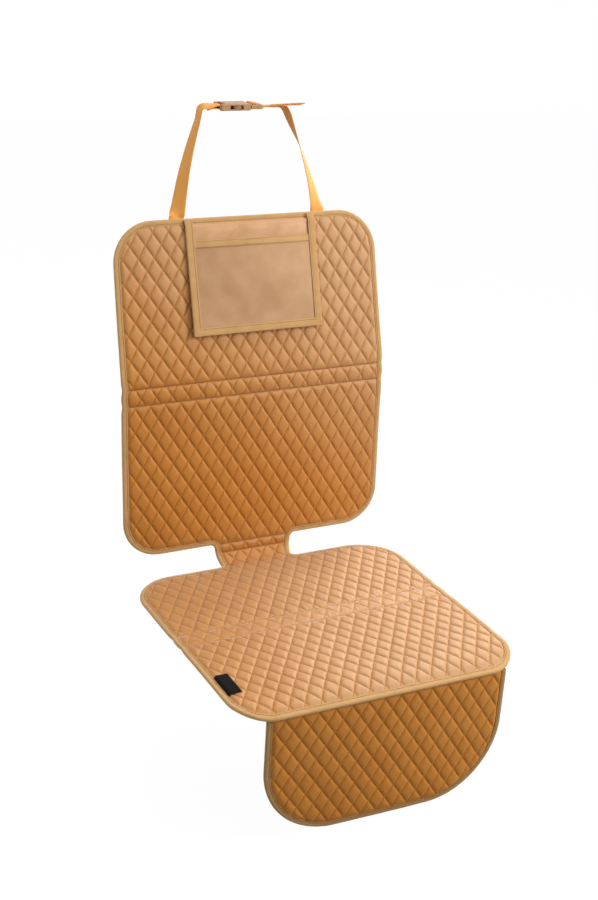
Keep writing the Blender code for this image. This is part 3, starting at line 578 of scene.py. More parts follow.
@dataclass(frozen=True)
class Sweep:
    """A closed section carried along a flat path on a placed surface."""

    place: Place
    closed: bool = False

    def inward(self, path: Array) -> Array:
        """The mitred direction to the left of the path at each point.

        Args:
            path: flat points of the path.

        Returns:
            Directions, longer at corners, so that the swept sides keep their distance.
        """
        ahead = np.roll(path, -1, axis=0) - path
        behind = path - np.roll(path, 1, axis=0)
        if not self.closed:
            ahead[-1] = behind[-1]
            behind[0] = ahead[0]
        ahead /= np.linalg.norm(ahead, axis=1)[:, None]
        behind /= np.linalg.norm(behind, axis=1)[:, None]
        left = np.column_stack([-ahead[:, 1] - behind[:, 1], ahead[:, 0] + behind[:, 0]])
        left /= np.linalg.norm(left, axis=1)[:, None]
        across = np.column_stack([-behind[:, 1], behind[:, 0]])
        return left / np.sum(left * across, axis=1)[:, None]

    def build(self, name: str, path: Array, section: Array, ripple: float = 0.0) -> bpy.types.Object:
        """Point = path + inward * d, at height n, for every (d, n) of the section along the path.

        Args:
            name: the piece's name.
            path: flat points of the path.
            section: rows of (inwards, up), clockwise as seen along the path.
            ripple: height of the small waves that sewing leaves in the tape.

        Returns:
            The object, with the map "run" of metres across and along.
        """
        inward = self.inward(path)
        along = np.concatenate([[0.0], np.cumsum(np.linalg.norm(np.diff(path, axis=0), axis=1))])
        wave = ripple * (np.sin(along * 410.0) * np.sin(along * 67.0 + 1.0) + 0.6 * np.sin(along * 151.0))
        d, n = section.T
        flat = path[:, None, :] + inward[:, None, :] * d[None, :, None]
        height = n[None, :] + wave[:, None] * np.sign(n - np.mean(n))[None, :] * 0.5
        points = self.place(flat[..., 0], flat[..., 1], height)
        rows, columns = points.shape[:2]
        walk = np.concatenate([[0.0], np.cumsum(np.linalg.norm(np.diff(section, axis=0), axis=1))])
        uv = np.stack(np.broadcast_arrays(walk[None, :], along[:, None]), axis=-1)
        quads = grid_quads(rows, columns, True)
        if self.closed:
            seam = np.arange(columns)
            last = (rows - 1) * columns + seam
            following = (seam + 1) % columns
            closing = np.column_stack([last, last - seam + following, following, seam])
            faces = [np.concatenate([quads, closing])]
        else:
            first = np.arange(columns)[None, ::-1]
            faces = [quads, first, np.arange((rows - 1) * columns, rows * columns)[None, :]]
        return add_mesh(name, points, faces, {"run": uv})


def tape_section(width: float, low: float, high: float, wall: float) -> Array:
    """The folded tape's section as rows of (inwards, up).

    The outside is a flat lip, a half round edge and a crowned lip with a dip where it is sewn;
    the inside follows it one wall further in.

    Args:
        width: reach of both lips from the edge.
        low: underside of the lower lip.
        high: top of the upper lip.
        wall: the tape's thickness.

    Returns:
        The closed section, clockwise as seen along the path.
    """
    middle, radius = (low + high) / 2, (high - low) / 2
    turn = np.linspace(-math.pi / 2, -3 * math.pi / 2, 9)
    edge_d = radius * 0.8 * (1 + np.cos(turn))
    edge_n = middle + radius * np.sin(turn)
    lip = np.array([0.35, 0.5, 0.62, 0.70, 0.76, 0.82, 0.90, 0.97, 1.0]) * width
    sewn = np.exp(-(((lip / width - 0.76) / 0.07) ** 2))
    crown = 0.5 * wall * np.sin(math.pi * np.clip(lip / width, 0, 0.7) / 0.7)
    top = high + 0.3 * crown - 0.45 * wall * sewn
    top[-1] = high - 0.5 * wall
    under = np.array([[width, low + 0.4 * wall], [0.9 * width, low], [0.5 * width, low]])
    outside = np.concatenate([under, np.column_stack([edge_d, edge_n]), np.column_stack([lip, top])])
    inner = radius - wall
    turn = turn[::-2]
    inside_d = wall + inner * 0.8 * (1 + np.cos(turn))
    inside_n = middle + inner * np.sin(turn)
    back = np.array([[width - 0.0003, high - wall - 0.0001]])
    front = np.array([[0.6 * width, low + wall], [width - 0.0003, low + wall]])
    return np.concatenate([outside, back, np.column_stack([inside_d, inside_n]), front])


@dataclass(frozen=True)
class StitchRow:
    """Raised stitches of one thread along a flat path."""

    place: Place
    pitch: float = 0.0038
    length: float = 0.0029
    thread: float = 0.00055

    def arrays(self, path: Array, height: Callable[[Array, Array], Array]) -> tuple[Array, Array, Array]:
        """Each stitch is a capsule: its radius falls and it dips into the cloth towards both ends.

        Args:
            path: flat points that the row follows.
            height: gives the cloth's height at flat points.

        Returns:
            Points, quads and end faces.
        """
        steps = np.linalg.norm(np.diff(path, axis=0), axis=1)
        along = np.concatenate([[0.0], np.cumsum(steps)])
        count = max(1, int(along[-1] / self.pitch))
        middle = (np.arange(count) + 0.5) * along[-1] / count
        spread = np.array([-0.5, -0.22, 0.22, 0.5])
        spot = middle[:, None] + spread[None, :] * self.length
        u = np.interp(spot, along, path[:, 0])
        s = np.interp(spot, along, path[:, 1])
        n = height(u, s)
        centre = self.place(u, s, n)
        up = self.place(u, s, n + 1e-4) - centre
        up /= np.linalg.norm(up, axis=-1, keepdims=True)
        ahead = centre[:, -1] - centre[:, 0]
        ahead /= np.linalg.norm(ahead, axis=-1, keepdims=True)
        side = np.cross(up, ahead[:, None, :])
        size = np.array([0.45, 1.0, 1.0, 0.45]) * self.thread / 2
        sink = np.array([-0.55, 0.25, 0.25, -0.55]) * self.thread
        turn = np.linspace(0, 2 * math.pi, 5, endpoint=False)
        ring = side[..., None, :] * np.cos(turn)[:, None] * 1.3 + up[..., None, :] * np.sin(turn)[:, None]
        points = centre[..., None, :] + up[..., None, :] * sink[:, None, None] + ring * size[:, None, None]
        quads = grid_quads(4, 5, True)[:, ::-1]
        ends = np.array([[0, 1, 2, 3, 4], [19, 18, 17, 16, 15]])
        offset = np.arange(count)[:, None, None] * 20
        return points.reshape(-1, 3), (quads + offset).reshape(-1, 4), (ends + offset).reshape(-1, 5)


def sew(name: str, rows: list[tuple[Array, Array, Array]]) -> bpy.types.Object:
    """Joins rows of stitches into one piece.

    Args:
        name: the piece's name.
        rows: points, quads and end faces of each row.

    Returns:
        The object.
    """
    shift, quads, ends = 0, [], []
    for points, fours, fives in rows:
        quads.append(fours + shift)
        ends.append(fives + shift)
        shift += len(points)
    return add_mesh(name, np.concatenate([row[0] for row in rows]), [*quads, *ends], {})


# Finishes


class Nodes:
    """A short way to write a material's nodes."""

    def __init__(self, name: str) -> None:
        """Makes an empty node material with its Principled shader.

        Args:
            name: the material's name.
        """
        self.material = bpy.data.materials.new(name)
        self.material.use_nodes = True
        self.tree = self.material.node_tree
        self.shader = self.tree.nodes["Principled BSDF"]

    def add(self, kind: str, inputs: dict[str, object] | None = None, **settings: object) -> bpy.types.Node:
        """Adds a node, sets its properties, and links or sets its inputs.

        Args:
            kind: the node's type without its prefix.
            inputs: values or sockets by input name or number.
            settings: the node's own properties.

        Returns:
            The node.
        """
        node = self.tree.nodes.new("ShaderNode" + kind)
        for key, value in settings.items():
            setattr(node, key, value)
        for key, value in (inputs or {}).items():
            socket = node.inputs[key]
            if isinstance(value, bpy.types.NodeSocket):
                self.tree.links.new(value, socket)
            else:
                socket.default_value = value
        return node

    def maths(self, operation: str, *values: object) -> bpy.types.NodeSocket:
        """A Math node's result."""
        return self.add("Math", dict(enumerate(values)), operation=operation).outputs[0]

    def remap(self, value: object, low: float, high: float, start: float = 0.0, end: float = 1.0) -> object:
        """A smooth Map Range's result."""
        inputs = {"Value": value, "From Min": low, "From Max": high, "To Min": start, "To Max": end}
        return self.add("MapRange", inputs, interpolation_type="SMOOTHSTEP").outputs[0]

    def mixed(self, share: object, a: object, b: object) -> bpy.types.NodeSocket:
        """Two colours mixed by a share.

        Args:
            share: 0 for the first colour and 1 for the second.
            a: the first colour, as a socket or plain value.
            b: the second colour.

        Returns:
            The mixed colour.
        """
        node = self.add("Mix", {0: share}, data_type="RGBA")
        for key, value in ((6, a), (7, b)):
            if isinstance(value, bpy.types.NodeSocket):
                self.tree.links.new(value, node.inputs[key])
            else:
                node.inputs[key].default_value = (*value, 1.0)
        return node.outputs[2]

    def noise(self, scale: float, detail: float = 2.0, vector: object = None) -> bpy.types.NodeSocket:
        """Noise on the object's own coordinates, or on another vector."""
        where = vector or self.add("TexCoord").outputs["Object"]
        return self.add("TexNoise", {"Vector": where, "Scale": scale, "Detail": detail}).outputs[0]

    def uv(self, name: str) -> tuple[bpy.types.NodeSocket, bpy.types.NodeSocket]:
        """The two numbers of a UV map."""
        parts = self.add("SeparateXYZ", {0: self.add("UVMap", uv_map=name).outputs[0]})
        return parts.outputs[0], parts.outputs[1]

    def wave(self, value: object, period: float) -> bpy.types.NodeSocket:
        """A sine of a length with this period, from -1 to 1."""
        return self.maths("SINE", self.maths("MULTIPLY", value, 2 * math.pi / period))

    def bump(self, height: object, strength: float, depth: float) -> None:
        """Feeds a height to the shader's normal."""
        node = self.add("Bump", {"Height": height, "Strength": strength, "Distance": depth})
        self.tree.links.new(node.outputs[0], self.shader.inputs["Normal"])

    def finish(self, **values: object) -> bpy.types.Material:
        """Sets or links the shader's sockets.

        Args:
            values: values or sockets by the input's name, with _ for a space.

        Returns:
            The material.
        """
        for key, value in values.items():
            socket = self.shader.inputs[key.replace("_", " ")]
            if isinstance(value, bpy.types.NodeSocket):
                self.tree.links.new(value, socket)
            else:
                socket.default_value = (*value, 1.0) if isinstance(value, tuple) else value
        return self.material


@dataclass(frozen=True)
class QuiltedLeather:
    """Coated leather with fine grain, wrinkles at the folds and thread along the diamonds' lines.

    The mat's leather is paler on the seat part and towards the top right of the back part, where the light
    falls most; the flap's isn't.
    """

    name: str = "quilted leather"
    base: tuple[float, float, float] = (0.56, 0.215, 0.024)
    deep: tuple[float, float, float] = (0.47, 0.155, 0.012)
    pale: tuple[float, float, float] = (0.575, 0.305, 0.125)
    pale_deep: tuple[float, float, float] = (0.50, 0.235, 0.080)
    paled: float = 1.0
    thread: tuple[float, float, float] = (0.64, 0.33, 0.12)
    roughness: float = 0.50
    shine: float = 0.50
    veil: float = 0.80
    stitch_pitch: float = 0.16

    def material(self) -> bpy.types.Material:
        """Builds the material on Object coordinates and the maps "quilt" and "fold".

        Returns:
            The material.
        """
        nodes = Nodes(self.name)
        a, b = nodes.uv("quilt")
        near = []
        for value, other in ((a, b), (b, a)):
            fraction = nodes.maths("FRACT", value)
            off_centre = nodes.maths("ABSOLUTE", nodes.maths("SUBTRACT", fraction, 0.5))
            line = nodes.maths("SUBTRACT", 0.5, off_centre)
            near.append((line, nodes.wave(other, self.stitch_pitch)))
        closest = nodes.maths("MINIMUM", near[0][0], near[1][0])
        groove = nodes.remap(closest, 0.0, 0.055, 1.0, 0.0)
        threads = []
        for line, dash in near:
            on_line = nodes.remap(line, 0.010, 0.026, 1.0, 0.0)
            threads.append(nodes.maths("MULTIPLY", on_line, nodes.remap(dash, -0.55, -0.15)))
        thread = nodes.maths("MAXIMUM", threads[0], threads[1])
        mottle = nodes.remap(nodes.noise(18.0, 3.0), 0.35, 0.65)
        fold = nodes.uv("fold")[0]
        base, deep = self.shades(nodes)
        colour = nodes.mixed(nodes.maths("MULTIPLY", mottle, 0.35), base, deep)
        # painted shade: the grooves along the stitch lines are darkened towards the deep colour, less so
        # near the seat's folds
        painted_groove_shade = nodes.maths("MULTIPLY", groove, nodes.remap(fold, 0.0, 1.0, 0.5, 0.2))
        colour = nodes.mixed(painted_groove_shade, colour, deep)
        colour = nodes.mixed(nodes.maths("MULTIPLY", thread, 0.12), colour, self.thread)
        grain = nodes.add("TexVoronoi", {"Vector": nodes.add("TexCoord").outputs["Object"], "Scale": 900.0})
        pores = nodes.maths("MULTIPLY", grain.outputs["Distance"], 0.35)
        creases = nodes.maths("MULTIPLY", nodes.noise(260.0, 4.0), 0.6)
        height = nodes.maths("ADD", nodes.maths("ADD", pores, creases), nodes.maths("MULTIPLY", thread, 0.5))
        crumpled = nodes.maths("ABSOLUTE", nodes.maths("SUBTRACT", nodes.noise(75.0, 3.0), 0.5))
        crumpled = nodes.maths("MULTIPLY", fold, nodes.maths("MULTIPLY", crumpled, 30.0))
        height = nodes.maths("SUBTRACT", height, crumpled)
        nodes.bump(height, 0.35, 0.0004)
        rough = nodes.maths("ADD", self.roughness, nodes.maths("MULTIPLY", nodes.noise(40.0, 2.0), 0.12))
        dull = nodes.maths("MAXIMUM", groove, nodes.remap(fold, 0.96, 0.995))
        shine = nodes.remap(dull, 0.0, 1.0, self.shine, 0.10 * self.shine)
        veil = nodes.remap(dull, 0.0, 1.0, self.veil, 0.10 * self.veil)
        nodes.finish(Specular_IOR_Level=shine, Sheen_Weight=veil, Sheen_Roughness=0.3)
        return nodes.finish(Base_Color=colour, Roughness=rough)

    def shades(self, nodes: Nodes) -> tuple[object, object]:
        """The face's and the grooves' colours, paler where the light falls most.

        Args:
            nodes: the material's nodes.

        Returns:
            Two colours, as sockets or plain values.
        """
        if not self.paled:
            return self.base, self.deep
        spot = nodes.add("SeparateXYZ", {0: nodes.add("TexCoord").outputs["Object"]}).outputs
        seat = nodes.remap(spot[1], 0.19, 0.24, self.paled, 0.25 * self.paled)
        seat = nodes.maths("MULTIPLY", seat, nodes.remap(spot[0], -0.25, 0.05, 0.5, 1.0))
        slanted = nodes.maths("ADD", spot[2], nodes.maths("MULTIPLY", spot[0], 0.6))
        back = nodes.remap(slanted, 0.12, 0.58, 0.0, self.paled)
        low = nodes.remap(spot[2], 0.02, 0.09, 1.0, 0.0)
        share = nodes.maths("MAXIMUM", nodes.maths("MULTIPLY", low, seat), back)
        return nodes.mixed(share, self.base, self.pale), nodes.mixed(share, self.deep, self.pale_deep)


@dataclass(frozen=True)
class WovenTape:
    """Ribbed tape: ribs across it and fine threads along it."""

    name: str = "binding tape"
    base: tuple[float, float, float] = (0.68, 0.39, 0.15)
    deep: tuple[float, float, float] = (0.51, 0.265, 0.080)
    rib: float = 0.0013
    yarn: float = 0.0007
    roughness: float = 0.78
    veil: float = 0.25

    def material(self) -> bpy.types.Material:
        """Builds the material on the map "run" of metres across and along.

        Returns:
            The material.
        """
        nodes = Nodes(self.name)
        across, along = nodes.uv("run")
        ribs = nodes.wave(along, self.rib)
        yarns = nodes.wave(across, self.yarn)
        weave = nodes.maths("ADD", ribs, nodes.maths("MULTIPLY", yarns, 0.35))
        worn = nodes.remap(nodes.noise(60.0, 3.0), 0.35, 0.7)
        # painted shade: the weave's low parts between the ribs are darkened towards the deep colour
        low = nodes.maths("MULTIPLY", nodes.remap(weave, -1.2, 0.2, 1.0, 0.0), 0.55)
        colour = nodes.mixed(low, self.base, self.deep)
        colour = nodes.mixed(nodes.maths("MULTIPLY", worn, 0.3), colour, self.deep)
        nodes.bump(weave, 0.4, 0.00035)
        nodes.finish(Base_Color=colour, Roughness=self.roughness)
        return nodes.finish(Sheen_Weight=self.veil, Sheen_Roughness=0.4)


@dataclass(frozen=True)
class PlainCloth:
    """Thin coated cloth of plain weave with soft blotches."""

    name: str = "pocket cloth"
    base: tuple[float, float, float] = (0.56, 0.315, 0.150)
    deep: tuple[float, float, float] = (0.48, 0.245, 0.100)
    weave: float = 0.0009
    roughness: float = 0.6
    shine: float = 0.5

    def material(self) -> bpy.types.Material:
        """Builds the material on the map "run" of metres across and along.

        Returns:
            The material.
        """
        nodes = Nodes(self.name)
        across, along = nodes.uv("run")
        weave = nodes.maths("MULTIPLY", nodes.wave(across, self.weave), nodes.wave(along, self.weave))
        blotch = nodes.remap(nodes.noise(35.0, 3.0), 0.3, 0.7)
        colour = nodes.mixed(nodes.maths("MULTIPLY", blotch, 0.6), self.base, self.deep)
        nodes.bump(weave, 0.25, 0.0002)
        nodes.finish(Roughness=self.roughness, Specular_IOR_Level=self.shine, Sheen_Weight=0.3 * self.shine)
        return nodes.finish(Base_Color=colour)


@dataclass(frozen=True)
class GripCloth:
    """Dark anti-slip backing: plain weave with rows of small raised dots."""

    base: tuple[float, float, float] = (0.060, 0.047, 0.038)
    dot: tuple[float, float, float] = (0.022, 0.019, 0.017)
    pitch: float = 0.0060
    roughness: float = 0.85

    def material(self) -> bpy.types.Material:
        """Builds the material on the map "run" of metres across and along.

        Returns:
            The material.
        """
        nodes = Nodes("anti-slip cloth")
        across, along = nodes.uv("run")
        spots = nodes.maths("MULTIPLY", nodes.wave(across, self.pitch), nodes.wave(along, self.pitch))
        dots = nodes.remap(nodes.maths("ABSOLUTE", spots), 0.55, 0.75)
        weave = nodes.maths("MULTIPLY", nodes.wave(across, 0.0011), nodes.wave(along, 0.0011))
        colour = nodes.mixed(dots, self.base, self.dot)
        height = nodes.maths("ADD", dots, nodes.maths("MULTIPLY", weave, 0.15))
        nodes.bump(height, 0.5, 0.0006)
        rough = nodes.remap(dots, 0.0, 1.0, self.roughness, 0.45)
        return nodes.finish(Base_Color=colour, Roughness=rough)


@dataclass(frozen=True)
class MouldedPlastic:
    """Satin moulded plastic with a faint uneven skin."""

    base: tuple[float, float, float] = (0.49, 0.265, 0.125)
    roughness: float = 0.42

    def material(self) -> bpy.types.Material:
        """Builds the material on Object coordinates.

        Returns:
            The material.
        """
        nodes = Nodes("moulded plastic")
        shade = nodes.remap(nodes.noise(90.0, 2.0), 0.3, 0.7)
        deeper = tuple(0.86 * value for value in self.base)
        colour = nodes.mixed(shade, self.base, deeper)
        nodes.bump(nodes.noise(1400.0, 2.0), 0.12, 0.0002)
        rough = nodes.maths("ADD", self.roughness, nodes.maths("MULTIPLY", shade, 0.08))
        return nodes.finish(Base_Color=colour, Roughness=rough)


@dataclass(frozen=True)
class SewingThread:
    """Polyester thread with a slight gloss."""

    name: str
    base: tuple[float, float, float]
    roughness: float = 0.55

    def material(self) -> bpy.types.Material:
        """Builds the material on Object coordinates.

        Returns:
            The material.
        """
        nodes = Nodes(self.name)
        shade = nodes.remap(nodes.noise(700.0, 1.0), 0.35, 0.65)
        darker = tuple(0.7 * value for value in self.base)
        colour = nodes.mixed(shade, self.base, darker)
        nodes.bump(nodes.noise(2600.0, 1.0), 0.3, 0.0002)
        return nodes.finish(Base_Color=colour, Roughness=self.roughness, Specular_IOR_Level=0.2)


class Wardrobe:
    """Every finish of the object, made once."""

    def __init__(self) -> None:
        """Builds the materials."""
        self.leather = QuiltedLeather().material()
        self.flap_leather = QuiltedLeather("flap leather", paled=0.0, shine=0.35, veil=0.2).material()
        self.tape = WovenTape().material()
        # painted shade: the flap's tape is a darker copy of the binding tape, standing in for the shade
        # under the seat's front edge
        self.shaded_flap_tape = WovenTape("shaded flap tape", (0.47, 0.26, 0.085), (0.34, 0.17, 0.045)).material()
        webbing = WovenTape("webbing", (0.93, 0.42, 0.085), (0.86, 0.36, 0.065), 0.0016, 0.0012, 0.7, 0.1)
        self.webbing = webbing.material()
        self.cloth = PlainCloth().material()
        lining = PlainCloth("pocket lining", (0.66, 0.36, 0.17), (0.58, 0.29, 0.11), roughness=0.5)
        self.lining = lining.material()
        self.grip = GripCloth().material()
        self.plastic = MouldedPlastic().material()
        label = PlainCloth("label cloth", (0.007, 0.006, 0.006), (0.011, 0.010, 0.009), 0.0008, 0.7, 0.05)
        self.label = label.material()
        self.thread = SewingThread("tan thread", (0.42, 0.19, 0.045)).material()
        self.dark_thread = SewingThread("brown thread", (0.34, 0.20, 0.085)).material()


def dress(piece: bpy.types.Object, material: bpy.types.Material) -> bpy.types.Object:
    """Gives a piece its finish.

    Args:
        piece: the piece.
        material: its finish.

    Returns:
        The same piece.
    """
    piece.data.materials.clear()
    piece.data.materials.append(material)
    log.info("%s: %d faces", piece.name, len(piece.data.polygons))
    return piece


# Quilted panels


@dataclass(frozen=True)
class Lattice:
    """Slanted stitch lines: one of each slope crosses at (u, s)."""

    width: float
    length: float
    u: float
    s: float

    def numbers(self, flat: Array) -> Array:
        """The two line numbers of flat points, which are whole on the stitch lines."""
        x, y = (flat[..., 0] - self.u) / self.width, (flat[..., 1] - self.s) / self.length
        return np.stack([y + x, y - x], axis=-1)

    def flat(self, a: Array, b: Array) -> Array:
        """The flat points with these line numbers."""
        return np.stack([self.u + (a - b) / 2 * self.width, self.s + (a + b) / 2 * self.length], axis=-1)


@dataclass(frozen=True)
class QuiltStrip:
    """The part of a panel between two stitched levels, with its lattice."""

    lattice: Lattice
    low: float
    high: float


@dataclass
class QuiltedPanel:
    """A panel of quilted leather: pillows between stitch lines, thin and flat under the binding."""

    name: str
    corners: list[Corner]
    strips: list[QuiltStrip]
    place: Place
    folds: list[float] = field(default_factory=list)
    keep: tuple[int, ...] = ()
    edge_keep: tuple[int, ...] = ()
    fine: int = 8
    flatness: float = 6.0
    taper: float = 0.0045
    fold_taper: float = 0.007

    def __post_init__(self) -> None:
        """Works out the cut edge and the line where the binding ends."""
        self.edge = Outline.rounded(inset(self.corners, LAYERS.hidden_inset, self.keep))
        self.sewn = Outline.rounded(inset(self.corners, MAT.binding_width - 0.0004, self.edge_keep))

    def rise(self, flat: Array, numbers: Array) -> Array:
        """Height of a pillow: flat in the middle, steep at its lines, and low along folds.

        Args:
            flat: flat points.
            numbers: their line numbers.

        Returns:
            Shares of the full height, with a small spread from pillow to pillow.
        """
        share = numbers - np.floor(numbers + 1e-9)
        across = 1 - np.abs(2 * share - 1) ** self.flatness
        pillow = np.clip(across[..., 0] * across[..., 1], 0.0, 1.0)
        cell = np.floor(numbers + 1e-9)
        full = 0.90 + 0.14 * hashed(cell[..., 0], cell[..., 1], 1.7)
        tilt = 0.10 * (hashed(cell[..., 1], cell[..., 0], 5.1) - 0.5) * (share[..., 0] - share[..., 1])
        u, s = flat[..., 0], flat[..., 1]
        crumple = 0.05 * np.sin(u * 310 + s * 170) * np.sin(s * 420 - u * 90)
        rise = pillow * (full + tilt + crumple)
        if self.folds:
            middle = (self.folds[0] + self.folds[1]) / 2
            rise = rise * (1 - 0.45 * ease((0.026 - np.abs(flat[..., 1] - middle)) / 0.010))
        for number, fold in enumerate(self.folds):
            least = 0.16 if number < 2 else 0.12
            away = np.abs(flat[..., 1] - fold)
            rise = rise * (least + (1 - least) * ease(away / self.fold_taper)) * ease(away / 0.0006)
        return rise

    def creases(self, flat: Array) -> Array:
        """The stitched folds' dips; the seat part's two are uneven, with small wrinkles beside them.

        Args:
            flat: flat points, one row each.

        Returns:
            Heights to add to the leather.
        """
        u, s = flat[..., 0], flat[..., 1]
        relief = 0 * u
        for number, fold in enumerate(self.folds):
            away = s - fold - MAT.wander(u, number)
            line = np.exp(-((away / 0.0018) ** 2))
            if number > 1:
                relief = relief - 0.0012 * line
                continue
            uneven = 0.6 + 0.6 * np.sin(137.0 * u + 2.0 * number) * np.sin(61.0 * u)
            rays = np.abs(np.sin(255.0 * u + 190.0 * away + 2.0 * np.sin(70.0 * u)))
            rays = rays + 0.8 * np.abs(np.sin(175.0 * u - 230.0 * away + 1.0)) - 1.1
            crumple = 0.0011 * rays * np.exp(-((away / 0.011) ** 2)) - 0.0008 * line * uneven
            seam = ease(np.abs(s - fold) / 0.0008)
            relief = relief + crumple * seam - 0.0007 * (1 - seam)
        return relief

    def top(self, flat: Array, numbers: Array) -> Array:
        """Height of the leather face above the underside.

        Args:
            flat: flat points, one row each.
            numbers: their line numbers.

        Returns:
            Heights.
        """
        inside = ease(self.sewn.depth(flat) / self.taper)
        body = LAYERS.stitch_top - LAYERS.edge_top + LAYERS.quilt_rise * self.rise(flat, numbers)
        return LAYERS.edge_top + (body + self.creases(flat)) * inside

    def strip_grid(self, strip: QuiltStrip) -> tuple[Array, Array, Array]:
        """A grid whose lines follow the strip's stitches, snapped to the strip's own outline.

        Grid lines have whole line numbers on stitches and crowd towards them by a cosine; every cell that
        has a corner inside is kept, and its corners outside move to the nearest point of the outline.

        Args:
            strip: the strip.

        Returns:
            Flat points, their line numbers and triangles.
        """
        region = self.edge.between(strip.low, strip.high)
        reach = strip.lattice.numbers(region.points)
        shares = (1 - np.cos(math.pi * np.arange(self.fine) / self.fine)) / 2
        knots = []
        for k in range(2):
            whole = np.arange(math.floor(reach[:, k].min()), math.ceil(reach[:, k].max()) + 1)
            knots.append((whole[:, None] + shares[None, :]).ravel())
        a, b = np.meshgrid(*knots, indexing="ij")
        flat = strip.lattice.flat(a, b)
        inside = region.inside(flat.reshape(-1, 2)).reshape(a.shape)
        kept = inside[:-1, :-1] | inside[1:, :-1] | inside[1:, 1:] | inside[:-1, 1:]
        used = np.zeros(a.shape, bool)
        for i, j in ((0, 0), (1, 0), (1, 1), (0, 1)):
            used[i : i + kept.shape[0], j : j + kept.shape[1]] |= kept
        outside = used & ~inside
        flat[outside] = region.nearest(flat[outside])[1]
        number = np.arange(a.size).reshape(a.shape)
        quads = np.stack([number[:-1, :-1], number[1:, :-1], number[1:, 1:], number[:-1, 1:]], axis=-1)[kept]
        points = flat.reshape(-1, 2)
        keys = np.round(points[quads.ravel()] * 2e6).astype(np.int64)
        _, first, merged = np.unique(keys, axis=0, return_index=True, return_inverse=True)
        chosen = points[quads.ravel()][first]
        triangles = split_quads(merged.reshape(-1, 4))
        p, q, r = (chosen[triangles[:, k]] for k in range(3))
        size = (q - p)[:, 0] * (r - p)[:, 1] - (q - p)[:, 1] * (r - p)[:, 0]
        triangles = triangles[size > 1e-10]
        return chosen, strip.lattice.numbers(chosen), triangles

    def build(self) -> bpy.types.Object:
        """Makes the panel: each strip is a closed shell of its relief over a flat underside.

        Returns:
            The object, with the maps "quilt" of line numbers and "fold" of nearness to the seat's folds.
        """
        points, faces, maps, creased, walls, shift = [], [], [], [], [], 0
        for strip in self.strips:
            flat, numbers, triangles = self.strip_grid(strip)
            u, s = flat.T
            top = self.place(u, s, self.top(flat, numbers))
            near = sum((np.exp(-(((s - fold) / 0.012) ** 2)) for fold in self.folds[:2]), 0 * s)
            creased += [np.column_stack([near, near])] * 2
            bottom = self.place(u, s, np.full(len(u), LAYERS.sheet_bottom))
            both, parts = shell(top, bottom, triangles)
            points.append(both)
            faces += [part + shift for part in parts]
            walls += [np.full(len(part), number == 2) for number, part in enumerate(parts)]
            maps += [numbers, numbers]
            shift += len(both)
        maps = {"quilt": np.concatenate(maps), "fold": np.concatenate(creased)}
        return add_mesh(self.name, np.concatenate(points), faces, maps, np.concatenate(walls))


@dataclass
class BackingSheet:
    """The cloth under a panel: a thin sheet that shows the quilting faintly from below."""

    name: str
    corners: list[Corner]
    place: Place
    spacing: float = 0.006
    keep: tuple[int, ...] = ()
    dimples: tuple[float, float] = (0.0255, 0.037)
    dimple_depth: float = 0.00025

    def build(self) -> bpy.types.Object:
        """A square grid snapped to the outline, as a closed sheet whose lower face waves a little.

        Returns:
            The object, with the map "run" of metres across and along.
        """
        region = Outline.rounded(inset(self.corners, LAYERS.hidden_inset, self.keep))
        low, high = region.points.min(axis=0), region.points.max(axis=0)
        counts = np.ceil((high - low) / self.spacing).astype(int) + 1
        u, s = np.meshgrid(*(np.linspace(low[k], high[k], counts[k]) for k in range(2)), indexing="ij")
        flat = np.stack([u, s], axis=-1)
        inside = region.inside(flat.reshape(-1, 2)).reshape(u.shape)
        kept = inside[:-1, :-1] | inside[1:, :-1] | inside[1:, 1:] | inside[:-1, 1:]
        used = np.zeros(u.shape, bool)
        for i, j in ((0, 0), (1, 0), (1, 1), (0, 1)):
            used[i : i + kept.shape[0], j : j + kept.shape[1]] |= kept
        outside = used & ~inside
        flat[outside] = region.nearest(flat[outside])[1]
        number = np.arange(u.size).reshape(u.shape)
        quads = np.stack([number[:-1, :-1], number[1:, :-1], number[1:, 1:], number[:-1, 1:]], axis=-1)[kept]
        _, compact = np.unique(quads, return_inverse=True)
        chosen = flat.reshape(-1, 2)[np.unique(quads)]
        triangles = split_quads(compact.reshape(-1, 4))
        u, s = chosen.T
        a, b = u / self.dimples[0], s / self.dimples[1]
        wave = self.dimple_depth * (np.sin(2 * math.pi * (a + b)) + np.sin(2 * math.pi * (a - b)))
        inner = ease(region.nearest(chosen)[0] / 0.02)
        bottom = self.place(u, s, np.clip(wave, 0.0, 1.0) * inner)
        top = self.place(u, s, np.full(len(u), LAYERS.backing_top))
        points, faces = shell(top, bottom, triangles)
        return add_mesh(self.name, points, faces, {"run": np.concatenate([chosen, chosen])})


